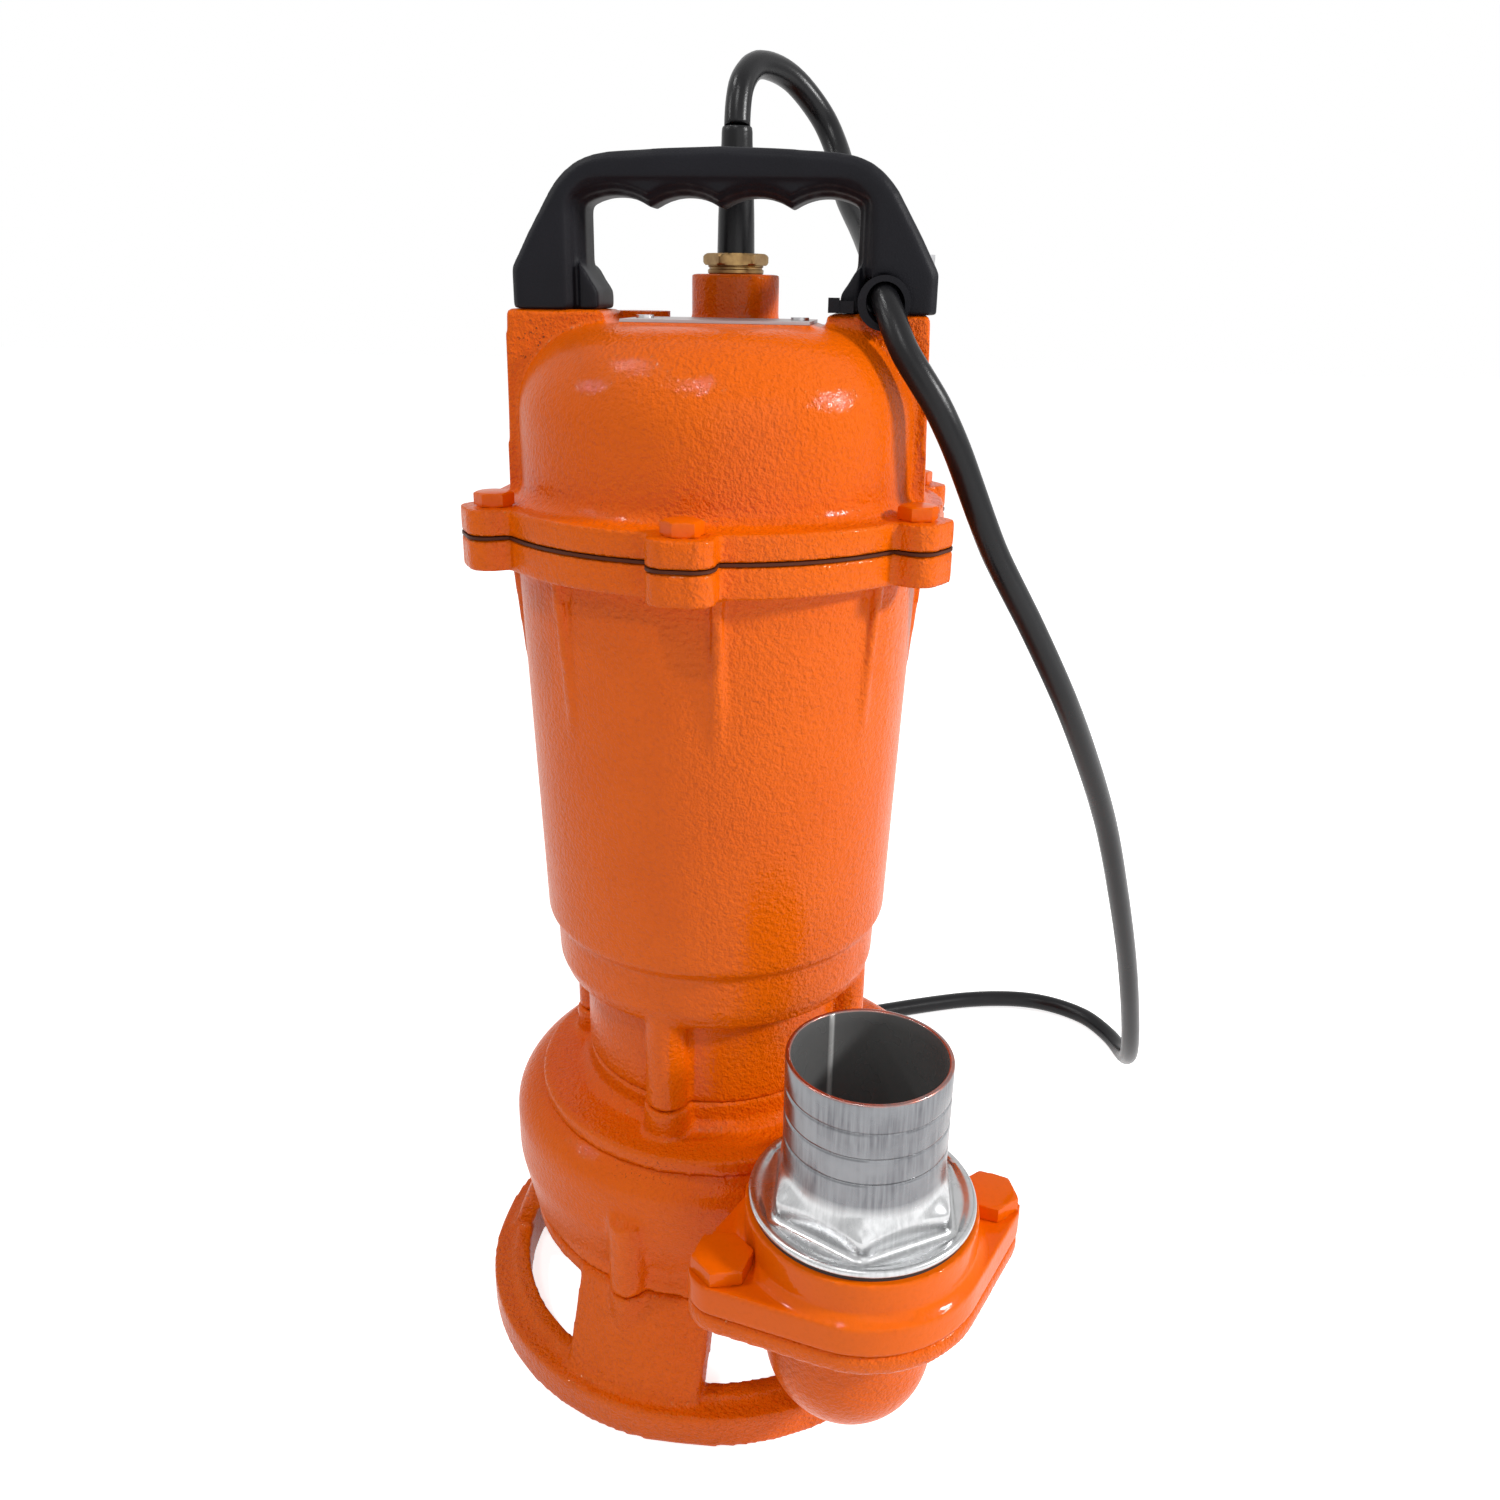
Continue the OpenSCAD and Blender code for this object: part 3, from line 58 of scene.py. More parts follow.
def make_camera():
    data = bpy.data.cameras.new("camera")
    data.sensor_width = SENSOR
    data.lens = SENSOR * LENS_FACTOR
    data.clip_start = 0.02
    data.clip_end = 20
    obj = link(bpy.data.objects.new("camera", data))
    ahead = Vector((-math.sin(LOOK_TURN), math.cos(LOOK_TURN), 0))
    forward = ahead * math.cos(LOOK_DOWN) - Vector((0, 0, 1)) * math.sin(LOOK_DOWN)
    right = forward.cross(Vector((0, 0, 1))).normalized()
    up = right.cross(forward)
    right = right * math.cos(LOOK_ROLL) - up * math.sin(LOOK_ROLL)
    up = right.cross(forward)
    turn = Matrix((right, up, -forward)).transposed().to_4x4()
    obj.matrix_world = Matrix.Translation(CAMERA_PLACE) @ turn
    scene.camera = obj


make_camera()

# ------------------------------------------------------------------ places, in millimetres
MM = 0.001
OUTLET = (55, -80.2)
GLAND = (0.5, 32)
GLAND_Z = 361.3
CORD_D = 8 * MM
EXIT = (0.5, 32, 402.9)
ARCH = [
    (1, 36, 414), (5, 46, 421.5), (14.5, 58, 419.5), (25, 63, 408), (31.5, 56, 394),
    (34, 42, 385), (39, 29, 376), (43, 15, 368), (45, 0, 361), (48, -15, 355),
]
HANGING = [
    (54, -25, 342), (63, -27, 329), (71, -24, 314), (83, -16, 287), (96, -6, 264),
    (111, 7, 236), (124, 24, 208), (137, 44, 176), (149, 65, 139), (161, 88, 98),
    (171, 110, 58), (178, 130, 26), (181, 150, 9),
]
ON_FLOOR = [
    (179, 170, 4.5), (169, 188, 4.5), (152, 199, 4.5), (132, 202, 4.5), (105, 197, 4.5),
    (72, 184, 4.5), (42, 171, 4.5), (16, 163, 5), (-6, 160.5, 5.5),
]
COIL_CENTRE = (-34, 232)
COIL_TURNS, LAYER_TURNS, COIL_OUT, COIL_STEP = 20, 5, 72, 8.5
COIL_LOW, COIL_LEAD, RINGS_A_TURN = 5.8, 8, 48
END = [
    (-56, 160.3, 32), (-75, 164.2, 34.5), (-90.5, 176.1, 38), (-99.5, 193.4, 42),
    (-100, 212, 46.5), (-95, 227.5, 50.5), (-85.1, 238.8, 53.4), (-78.6, 243.4, 54.1),
]
PLUG_REAR = (-72, 248, 54.1)


# ------------------------------------------------------------------ shader groups
def add(tree, kind, **values):
    """New node in a tree, with its settings."""
    node = tree.nodes.new(kind)
    for name, value in values.items():
        setattr(node, name, value)
    return node


def group(name, inputs, outputs):
    """Empty shader group with named inputs of (name, kind, default) and outputs."""
    tree = bpy.data.node_groups.new(name, "ShaderNodeTree")
    for key, kind, value in inputs:
        socket = tree.interface.new_socket(key, in_out="INPUT", socket_type=kind)
        if value is not None:
            socket.default_value = value
    for key, kind in outputs:
        tree.interface.new_socket(key, in_out="OUTPUT", socket_type=kind)
    return tree, add(tree, "NodeGroupInput"), add(tree, "NodeGroupOutput")


FLOAT, VECTOR = "NodeSocketFloat", "NodeSocketVector"


def feed(tree, socket, value):
    """Give a socket a constant, or link another node's output to it."""
    if isinstance(value, bpy.types.NodeSocket):
        tree.links.new(value, socket)
    else:
        socket.default_value = value


def maths(tree, operation, *values):
    """Result of one operation on constants and other nodes' outputs."""
    node = add(tree, "ShaderNodeMath", operation=operation)
    for i, value in enumerate(values):
        feed(tree, node.inputs[i], value)
    return node.outputs[0]


def noise(tree, vector, scale, detail=2.0, roughness=0.5):
    """Value of a noise at a vector."""
    node = add(tree, "ShaderNodeTexNoise")
    for key, value in (("Vector", vector), ("Scale", scale), ("Detail", detail),
                       ("Roughness", roughness)):
        feed(tree, node.inputs[key], value)
    return node.outputs["Fac"]


def span(tree, value, low, high, to_low=0.0, to_high=1.0):
    """The value's place between low and high, as a number between to_low and to_high."""
    node = add(tree, "ShaderNodeMapRange")
    for key, number in (("Value", value), ("From Min", low), ("From Max", high),
                        ("To Min", to_low), ("To Max", to_high)):
        feed(tree, node.inputs[key], number)
    return node.outputs["Result"]


def seen_rays(tree):
    """1 for what the camera sees, straight on, in a reflection or through a piece; else 0."""
    path = add(tree, "ShaderNodeLightPath")
    seen = maths(tree, "MAXIMUM", path.outputs["Is Camera Ray"], path.outputs["Is Glossy Ray"])
    return maths(tree, "MAXIMUM", seen, path.outputs["Is Transmission Ray"])


def build_cast_grain():
    """Sand cast skin under paint: soft lumps with finer orange peel on them, and a mask of the
    lumps' low spots for painted shade.
    """
    tree, given, out = group(
        "cast_grain",
        [("Vector", VECTOR, None), ("Lump Scale", FLOAT, 300.0), ("Peel Scale", FLOAT, 900.0),
         ("Lumps", FLOAT, 1.0), ("Peel", FLOAT, 0.5)],
        [("Height", FLOAT), ("Hollows", FLOAT)])
    lumps = noise(tree, given.outputs["Vector"], given.outputs["Lump Scale"], 2.0, 0.55)
    peel = noise(tree, given.outputs["Vector"], given.outputs["Peel Scale"], 1.0, 0.5)
    low = maths(tree, "MULTIPLY", lumps, given.outputs["Lumps"])
    fine = maths(tree, "MULTIPLY", peel, given.outputs["Peel"])
    tree.links.new(maths(tree, "ADD", low, fine), out.inputs["Height"])
    # Low spots of the lumps, where shade is painted into the skin
    tree.links.new(span(tree, lumps, 0.32, 0.5, 1.0, 0.0), out.inputs["Hollows"])
    return tree


def build_speckle():
    """Mask of small scattered flecks, gathered in loose patches."""
    tree, given, out = group(
        "speckle",
        [("Vector", VECTOR, None), ("Fleck Scale", FLOAT, 900.0), ("Patch Scale", FLOAT, 12.0),
         ("Fleck Level", FLOAT, 0.68), ("Patch Level", FLOAT, 0.6)],
        [("Mask", FLOAT)])
    fleck = noise(tree, given.outputs["Vector"], given.outputs["Fleck Scale"], 1.0, 0.5)
    patch = noise(tree, given.outputs["Vector"], given.outputs["Patch Scale"], 2.0, 0.5)
    high = maths(tree, "ADD", given.outputs["Fleck Level"], 0.03)
    near = maths(tree, "ADD", given.outputs["Patch Level"], 0.08)
    a = span(tree, fleck, given.outputs["Fleck Level"], high)
    b = span(tree, patch, given.outputs["Patch Level"], near)
    tree.links.new(maths(tree, "MULTIPLY", a, b), out.inputs["Mask"])
    return tree


def build_smudge():
    """Slow change over a surface, such as handling marks and uneven gloss."""
    tree, given, out = group(
        "smudge",
        [("Vector", VECTOR, None), ("Scale", FLOAT, 30.0), ("Low", FLOAT, 0.3),
         ("High", FLOAT, 0.5)],
        [("Value", FLOAT), ("Fac", FLOAT)])
    slow = noise(tree, given.outputs["Vector"], given.outputs["Scale"], 3.0, 0.55)
    fac = span(tree, slow, 0.3, 0.7)
    value = span(tree, fac, 0.0, 1.0, given.outputs["Low"], given.outputs["High"])
    tree.links.new(fac, out.inputs["Fac"])
    tree.links.new(value, out.inputs["Value"])
    return tree


def build_brushed():
    """Fine lines that run along one way of the surface, set by how the vector is stretched."""
    tree, given, out = group(
        "brushed",
        [("Vector", VECTOR, None), ("Stretch", VECTOR, (1.0, 1.0, 1.0)), ("Scale", FLOAT, 400.0)],
        [("Height", FLOAT), ("Fac", FLOAT)])
    scale = add(tree, "ShaderNodeVectorMath", operation="MULTIPLY")
    tree.links.new(given.outputs["Vector"], scale.inputs[0])
    tree.links.new(given.outputs["Stretch"], scale.inputs[1])
    lines = noise(tree, scale.outputs[0], given.outputs["Scale"], 3.0, 0.6)
    tree.links.new(lines, out.inputs["Height"])
    tree.links.new(span(tree, lines, 0.35, 0.65), out.inputs["Fac"])
    return tree


CAST_GRAIN = build_cast_grain()
SPECKLE = build_speckle()
SMUDGE = build_smudge()
BRUSHED = build_brushed()


class Look:
    """One material: its tree, its shader and short ways to place groups in it."""

    def __init__(self, name, roughness, metallic=0.0, coat=0.0, coat_rough=0.1, shine=0.5):
        self.material = bpy.data.materials.new(name)
        self.material.use_nodes = True
        self.tree = self.material.node_tree
        self.shader = self.tree.nodes["Principled BSDF"]
        for key, value in (("Roughness", roughness), ("Metallic", metallic),
                           ("Coat Weight", coat), ("Coat Roughness", coat_rough),
                           ("Specular IOR Level", shine)):
            self.shader.inputs[key].default_value = value
        self.coords = add(self.tree, "ShaderNodeTexCoord").outputs["Object"]

    def place(self, tree, **values):
        """Put a group in the tree, fed by object coordinates; _ stands for a space in a name."""
        node = add(self.tree, "ShaderNodeGroup", node_tree=tree)
        self.tree.links.new(self.coords, node.inputs["Vector"])
        for key, value in values.items():
            node.inputs[key.replace("_", " ")].default_value = value
        return node

    def mix(self, fac, a, b):
        """Blend of two colours, each a node's output or three numbers."""
        node = add(self.tree, "ShaderNodeMix", data_type="RGBA")
        feed(self.tree, node.inputs["Factor"], fac)
        for key, value in (("A", a), ("B", b)):
            socket = [s for s in node.inputs if s.name == key and s.type == "RGBA"][0]
            feed(self.tree, socket, (*value, 1) if isinstance(value, tuple) else value)
        return [s for s in node.outputs if s.type == "RGBA"][0]

    def color(self, value):
        self.tree.links.new(value, self.shader.inputs["Base Color"])

    def rough(self, value):
        self.tree.links.new(value, self.shader.inputs["Roughness"])

    def bump(self, height, distance, socket="Normal"):
        """Relief of a depth in metres under the paint, or in the coat by its own socket."""
        node = add(self.tree, "ShaderNodeBump")
        node.inputs["Strength"].default_value = 1.0
        node.inputs["Distance"].default_value = distance
        self.tree.links.new(height, node.inputs["Height"])
        self.tree.links.new(node.outputs["Normal"], self.shader.inputs[socket])


ORANGE = (0.8, 0.13, 0.0003)
ORANGE_DEEP = (0.73, 0.108, 0.0002)
# Darker orange painted into the skin's low spots as shade
ORANGE_HOLLOW_SHADE = tuple(c * 0.7 for c in ORANGE_DEEP)
FLECK_BROWN = (0.16, 0.03, 0.005)
HOLLOW_SHADE_SHARE = 0.12


def enamel(name, lumps, peel, bump_depth, coat_depth, coat_rough, dust=0.66):
    """Orange enamel over a cast skin of lumps and peel, with painted shade in the skin's low spots,
    under a clear coat with its own relief.
    """
    look = Look(name, 0.3, shine=0.03, coat=0.22, coat_rough=coat_rough)
    grain = look.place(CAST_GRAIN, Lump_Scale=680.0, Peel_Scale=1500.0, Lumps=lumps, Peel=peel)
    tone = look.place(SMUDGE, Scale=16.0, Low=0.26, High=0.36)
    flecks = look.place(SPECKLE, Fleck_Scale=1500.0, Patch_Scale=22.0, Fleck_Level=0.66,
                        Patch_Level=dust)
    # Painted shade: the skin's low spots darkened by this share
    hollow_shade = maths(look.tree, "MULTIPLY", grain.outputs["Hollows"], HOLLOW_SHADE_SHARE)
    paint = look.mix(tone.outputs["Fac"], ORANGE, ORANGE_DEEP)
    paint = look.mix(hollow_shade, paint, ORANGE_HOLLOW_SHADE)
    look.color(look.mix(flecks.outputs["Mask"], paint, FLECK_BROWN))
    look.rough(tone.outputs["Value"])
    look.bump(grain.outputs["Height"], bump_depth)
    look.bump(grain.outputs["Height"], coat_depth, "Coat Normal")
    return look.material


def plain_grain(name, color, tint, rough_low, rough_high, grain_scale, depth, metallic=0.0,
                coat=0.0, smudge_scale=40.0, shine=0.5):
    """Moulded or sprayed surface: two close tones, uneven gloss and one fine grain."""
    look = Look(name, rough_low, metallic=metallic, coat=coat, shine=shine)
    tone = look.place(SMUDGE, Scale=smudge_scale, Low=rough_low, High=rough_high)
    grain = look.place(CAST_GRAIN, Lump_Scale=grain_scale, Peel_Scale=grain_scale * 2.7,
                       Lumps=1.0, Peel=0.6)
    look.color(look.mix(tone.outputs["Fac"], color, tint))
    look.rough(tone.outputs["Value"])
    look.bump(grain.outputs["Height"], depth)
    return look.material


def brushed_metal(name, color, tint, rough_low, rough_high, stretch, depth=0.00001, scale=400.0):
    """Machined or drawn metal with fine lines one way and a patchy gloss."""
    look = Look(name, rough_low, metallic=1.0)
    lines = look.place(BRUSHED, Stretch=stretch, Scale=scale)
    tone = look.place(SMUDGE, Scale=60.0, Low=rough_low, High=rough_high)
    both = maths(look.tree, "MULTIPLY", lines.outputs["Fac"], tone.outputs["Fac"])
    look.color(look.mix(both, color, tint))
    look.rough(tone.outputs["Value"])
    look.bump(lines.outputs["Height"], depth)
    return look.material


# Places on the hose tail, in metres and degrees, where its metal changes
DRAWN_FROM, DRAWN_FULL = 0.117, 0.121
INSIDE_FROM, INSIDE_FULL = 0.0227, 0.0226
RIM_FROM, RIM_FULL = 0.1539, 0.1542
SEAM_ANGLE = 121
# Where the painted highlight on the weld seam fades out and where it is full
SEAM_GLINT_FROM, SEAM_GLINT_FULL = 0.05, 0.02


def tail_metal():
    """Zinc on drawn tube: fine upright lines, a dull inside with a painted highlight along its seam
    and a rusty cut rim.
    """
    look = Look("zinc_steel", 0.3, metallic=1.0)
    lines = look.place(BRUSHED, Stretch=(1.0, 1.0, 0.06), Scale=900.0)
    tone = look.place(SMUDGE, Scale=70.0, Low=0.2, High=0.36)
    rust = look.place(SMUDGE, Scale=260.0, Low=0.2, High=1.0)
    both = maths(look.tree, "MULTIPLY", lines.outputs["Fac"], tone.outputs["Fac"])
    metal = look.mix(both, (0.52, 0.525, 0.53), (0.36, 0.365, 0.37))
    drawn = look.mix(both, (0.21, 0.215, 0.225), (0.10, 0.10, 0.11))
    split = add(look.tree, "ShaderNodeSeparateXYZ")
    look.tree.links.new(look.coords, split.inputs[0])
    upper = span(look.tree, split.outputs["Z"], DRAWN_FROM, DRAWN_FULL)
    metal = look.mix(upper, metal, drawn)
    dx = maths(look.tree, "SUBTRACT", split.outputs["X"], OUTLET[0] * MM)
    dy = maths(look.tree, "SUBTRACT", split.outputs["Y"], OUTLET[1] * MM)
    off = maths(look.tree, "SQRT", maths(look.tree, "ADD", maths(look.tree, "MULTIPLY", dx, dx),
                                         maths(look.tree, "MULTIPLY", dy, dy)))
    inside = span(look.tree, off, INSIDE_FROM, INSIDE_FULL)
    metal = look.mix(inside, metal, (0.15, 0.15, 0.148))
    # Painted highlight: a lighter line along the weld seam inside the bore
    seam = maths(look.tree, "SUBTRACT", maths(look.tree, "ARCTAN2", dy, dx),
                 math.radians(SEAM_ANGLE))
    seam = span(look.tree, maths(look.tree, "ABSOLUTE", seam), SEAM_GLINT_FROM, SEAM_GLINT_FULL)
    metal = look.mix(maths(look.tree, "MULTIPLY", seam, inside), metal, (0.55, 0.55, 0.54))
    dull = maths(look.tree, "SUBTRACT", 1.0, maths(look.tree, "MULTIPLY", inside, 0.75))
    look.tree.links.new(dull, look.shader.inputs["Metallic"])
    rim = span(look.tree, split.outputs["Z"], RIM_FROM, RIM_FULL)
    rim = maths(look.tree, "MULTIPLY", rim, rust.outputs["Value"])
    look.color(look.mix(rim, metal, (0.42, 0.16, 0.12)))
    look.rough(tone.outputs["Value"])
    look.bump(lines.outputs["Height"], 0.00002)
    return look.material


looks = {
    "cast": enamel("enamel_cast", 1.0, 0.4, 0.0009, 0.00017, 0.03),
    "rough": enamel("enamel_rough", 1.2, 0.5, 0.0011, 0.00024, 0.04),
    "smooth": enamel("enamel_smooth", 0.35, 0.1, 0.0003, 0.0001, 0.04, 0.7),
    # Gasket line: dark brown, partly its own dark joint and partly painted shade of the gap
    "joint": plain_grain("joint_line", (0.05, 0.011, 0.004), (0.08, 0.017, 0.005), 0.5, 0.7,
                         1200.0, 0.00004, shine=0.2),
    "handle": plain_grain("handle_plastic", (0.005, 0.005, 0.007), (0.008, 0.008, 0.011),
                          0.42, 0.56, 1800.0, 0.00006, shine=0.13),
    "cord": plain_grain("cord_rubber", (0.005, 0.005, 0.006), (0.008, 0.008, 0.009),
                        0.26, 0.36, 1500.0, 0.00003, shine=0.22),
    "seal": plain_grain("seal_rubber", (0.02, 0.02, 0.02), (0.035, 0.034, 0.032),
                        0.6, 0.75, 1200.0, 0.00005),
    "brass": plain_grain("gland_brass", (0.34, 0.22, 0.09), (0.22, 0.13, 0.055),
                         0.3, 0.5, 900.0, 0.00004, metallic=1.0, smudge_scale=220.0),
    "zinc": tail_metal(),
    "plate": brushed_metal("name_plate", (0.42, 0.36, 0.36), (0.3, 0.25, 0.25), 0.3, 0.45,
                           (0.05, 1.0, 1.0)),
    "steel": brushed_metal("bright_steel", (0.56, 0.56, 0.57), (0.44, 0.44, 0.45), 0.25, 0.38,
                           (0.1, 1.0, 1.0)),
    "aluminium": brushed_metal("plate_aluminium", (0.72, 0.72, 0.73), (0.6, 0.6, 0.61), 0.3, 0.42,
                               (0.05, 1.0, 1.0)),
    "lamination": brushed_metal("lamination", (0.25, 0.27, 0.3), (0.12, 0.13, 0.15), 0.35, 0.5,
                                (0.02, 0.02, 1.0), 0.00004, 1200.0),
    "copper": brushed_metal("copper", (0.52, 0.2, 0.07), (0.38, 0.12, 0.04), 0.25, 0.4,
                            (0.05, 0.05, 1.0), 0.00008, 600.0),
    "iron": plain_grain("cast_iron", (0.16, 0.16, 0.165), (0.1, 0.1, 0.105), 0.5, 0.65,
                        420.0, 0.0002, metallic=0.6),
    "ceramic": plain_grain("ceramic", (0.78, 0.75, 0.68), (0.72, 0.69, 0.62), 0.12, 0.22,
                           1400.0, 0.00001, coat=0.3),
    "block": plain_grain("block_plastic", (0.72, 0.69, 0.6), (0.66, 0.63, 0.54), 0.4, 0.5,
                         1400.0, 0.00003),
    "lead": plain_grain("lead_rubber", (0.35, 0.04, 0.03), (0.26, 0.03, 0.02), 0.45, 0.55,
                        1400.0, 0.00003),
    "case": plain_grain("capacitor_case", (0.68, 0.69, 0.71), (0.62, 0.63, 0.65), 0.25, 0.35,
                        1600.0, 0.00002, coat=0.2),
}

NODE_LOOK = {
    "base_stand": "rough", "foot_bolts": "steel", "volute_casing": "cast",
    "volute_cover": "cast", "cover_screws": "steel", "neck_oring": "seal",
    "motor_barrel": "cast", "cover_gasket": "joint", "top_cover": "cast", "cover_bolts": "smooth",
    "handle": "handle", "handle_screws": "steel", "cord_grommet": "handle", "cord_tie": "handle",
    "nameplate": "plate", "nameplate_rivets": "steel", "test_plug": "cast",
    "outlet_gasket": "smooth", "outlet_flange": "smooth", "outlet_bolts": "smooth",
    "tail_gasket": "seal", "hose_tail": "zinc", "gland_body": "brass", "gland_seal": "seal",
    "gland_nut": "brass", "strain_relief": "cord", "inner_cord": "cord", "supply_leads": "lead",
    "terminal_block": "block", "motor_leads": "lead", "capacitor": "case",
    "capacitor_clamp": "steel", "bearing_bracket": "iron", "top_bearing_outer": "steel",
    "top_bearing_inner": "steel", "top_bearing_balls": "steel", "low_bearing_outer": "steel",
    "low_bearing_inner": "steel", "low_bearing_balls": "steel", "lip_seal": "seal",
    "seal_seat": "ceramic", "seal_head": "steel", "stator_core": "lamination",
    "stator_windings": "copper", "rotor_core": "lamination", "rotor_end_rings": "aluminium",
    "motor_shaft": "steel", "impeller": "iron", "impeller_nut": "steel",
    "cord_run": "cord", "cord_coil": "cord", "coil_tie": "handle", "cord_end": "cord",
    "plug_body": "cord", "plug_pins": "zinc",
}
for name, node in nodes.items():
    node.data.materials.clear()
    node.data.materials.append(looks[NODE_LOOK[name]])


def stand_for(obj, look, *replaced):
    """Hand a finished piece to the pump's fixed body in place of CAD nodes."""
    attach(obj, "root")
    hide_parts(*replaced)
    return obj


def made_plain(obj):
    """Turn an object's modifiers into one plain mesh of its own name."""
    graph = bpy.context.evaluated_depsgraph_get()
    made = bpy.data.meshes.new_from_object(obj.evaluated_get(graph))
    obj.modifiers.clear()
    obj.data = made
    made.name = obj.name
    return made


def soft_copy(node, name, voxel, rounds):
    """Copy of a CAD solid with every edge and corner rounded as in a casting."""
    mesh = nodes[node].data.copy()
    mesh.name = name
    obj = link(bpy.data.objects.new(name, mesh))
    bm = bmesh.new()
    bm.from_mesh(mesh)
    bmesh.ops.remove_doubles(bm, verts=bm.verts, dist=0.01 * MM)
    bm.to_mesh(mesh)
    bm.free()
    remesh = obj.modifiers.new("remesh", "REMESH")
    remesh.mode = "VOXEL"
    remesh.voxel_size = voxel
    remesh.use_smooth_shade = True
    smooth = obj.modifiers.new("smooth", "SMOOTH")
    smooth.factor = 0.5
    smooth.iterations = rounds
    made = made_plain(obj)
    made.materials.clear()
    made.materials.append(looks[NODE_LOOK[node]])
    for face in made.polygons:
        face.use_smooth = True
    return stand_for(obj, NODE_LOOK[node], node)


# CAD node: its copy's name, voxel size in millimetres and rounds of smoothing
CASTINGS = {
    "base_stand": ("stand_casting", 1.0, 6),
    "volute_casing": ("volute_shell", 1.25, 8),
    "volute_cover": ("volute_lid", 1.0, 4),
    "motor_barrel": ("barrel_casting", 1.0, 2),
    "top_cover": ("domed_cover", 1.0, 4),
    "outlet_flange": ("hose_flange", 0.7, 2),
    "handle": ("carry_handle", 0.8, 10),
}
for node, (name, voxel, rounds) in CASTINGS.items():
    soft_copy(node, name, voxel * MM, rounds)


# ------------------------------------------------------------------ turned and pressed pieces
def closed_loops(name, loops, material, smooth_angle, ends=False):
    """Skin over equal rings of points. Its ends are capped, or else the last ring is the first."""
    bm = bmesh.new()
    rings = [[bm.verts.new(p) for p in loop] for loop in loops]
    count = len(loops[0])
    for low, high in zip(rings, rings[1:]):
        for k in range(count):
            n = (k + 1) % count
            bm.faces.new((low[k], low[n], high[n], high[k]))
    if ends:
        bm.faces.new(list(reversed(rings[0])))
        bm.faces.new(rings[-1])
    bmesh.ops.remove_doubles(bm, verts=bm.verts, dist=0.001 * MM)
    bmesh.ops.recalc_face_normals(bm, faces=bm.faces)
    for face in bm.faces:
        face.smooth = True
    for edge in bm.edges:
        if len(edge.link_faces) == 2 and edge.calc_face_angle() > math.radians(smooth_angle):
            edge.smooth = False
    mesh = bpy.data.meshes.new(name)
    bm.to_mesh(mesh)
    bm.free()
    return link(bpy.data.objects.new(name, mesh), material)


def round_loop(place, radius, height, steps):
    """Points round the upright line through place; radius and height may go by the angle."""
    loop = []
    for k in range(steps):
        angle = 360 * k / steps
        r = radius(angle) if callable(radius) else radius
        z = height(angle) if callable(height) else height
        a = math.radians(angle)
        loop.append(((place[0] + r * math.cos(a)) * MM, (place[1] + r * math.sin(a)) * MM,
                     z * MM))
    return loop


def spun(name, profile, place, material, steps=96, smooth_angle=40):
    """Hollow solid of revolution: profile lists radius and height in millimetres."""
    loops = [round_loop(place, r, z, steps) for r, z in profile]
    loops.append(loops[0])
    return closed_loops(name, loops, material, smooth_angle)


def hexagon(angle, half, turn):
    """Distance from a hexagon's middle to its edge, for half its width across flats."""
    return half / math.cos(math.radians((angle - turn) % 60 - 30))


TAIL_R, TAIL_WALL, TAIL_TOP, TAIL_LOW = 24, 1.5, 154.4, 94.2
TAIL_IN = TAIL_R - TAIL_WALL
THREAD_R, THREAD_DEEP, THREAD_STEP, THREAD_TURNS = TAIL_R - 0.6, 0.4, 1.3, 8
WASHER_R, WASHER_LOW, WASHER_TOP = 33.8, 105.2, 107.6
WASHER_EDGE = [
    (TAIL_R + 0.5, WASHER_LOW), (WASHER_R - 1.0, WASHER_LOW), (WASHER_R - 0.25, WASHER_LOW + 0.3),
    (WASHER_R, WASHER_LOW + 1.1), (WASHER_R - 0.25, WASHER_LOW + 1.9),
    (WASHER_R - 0.9, WASHER_TOP - 0.15), (WASHER_R - 1.8, WASHER_TOP - 0.25),
]
HEX_HALF, HEX_TURN = 25.2, 31
HEX_SOFT = HEX_HALF * 1.118
TAIL_STEPS, NUT_STEPS = 288, 120
SKIRT_LOW, SKIRT_TALL, SKIRT_DIP, SKIRT_LEAN, SKIRT_FOOT = 108.5, 4.6, 0.35, 0.15, 1.9
SHOULDER_TALL, SHOULDER_STEPS, TUBE_LOW = 5.6, 8, 123
GROOVES = (128.2, 136.6, 145.0)
GROOVE_SHAPE = ((-1.1, 0), (-0.45, 0.04), (-0.15, 0.3), (0.15, 0.3), (0.45, 0.04), (1.1, 0))
RIM_EDGE = [
    (TAIL_R, TAIL_TOP - 0.45), (TAIL_R - 0.15, TAIL_TOP - 0.12), (TAIL_R - 0.45, TAIL_TOP),
    (TAIL_IN + 0.45, TAIL_TOP), (TAIL_IN + 0.12, TAIL_TOP - 0.15),
]
SEAM_TALL, SEAM_WIDE = 0.35, 1.3


def hex_radius(angle):
    """Pressed hexagon with soft corners."""
    corner = hexagon(angle, HEX_HALF, HEX_TURN)
    return min(corner, HEX_SOFT + 0.5 * (corner - HEX_SOFT))


def hex_dip(angle):
    """How far the skirt's upper edge drops towards a corner."""
    return SKIRT_DIP * (hex_radius(angle) - HEX_HALF)


def bore_radius(angle):
    """Inside of the tube, with its welded seam."""
    off = (angle - SEAM_ANGLE + 180) % 360 - 180
    return TAIL_IN - SEAM_TALL * math.exp(-(off / SEAM_WIDE) ** 2)


def ease(t):
    """Slow start and slow end between 0 and 1."""
    t = min(1.0, max(0.0, t))
    return t * t * (3 - 2 * t)


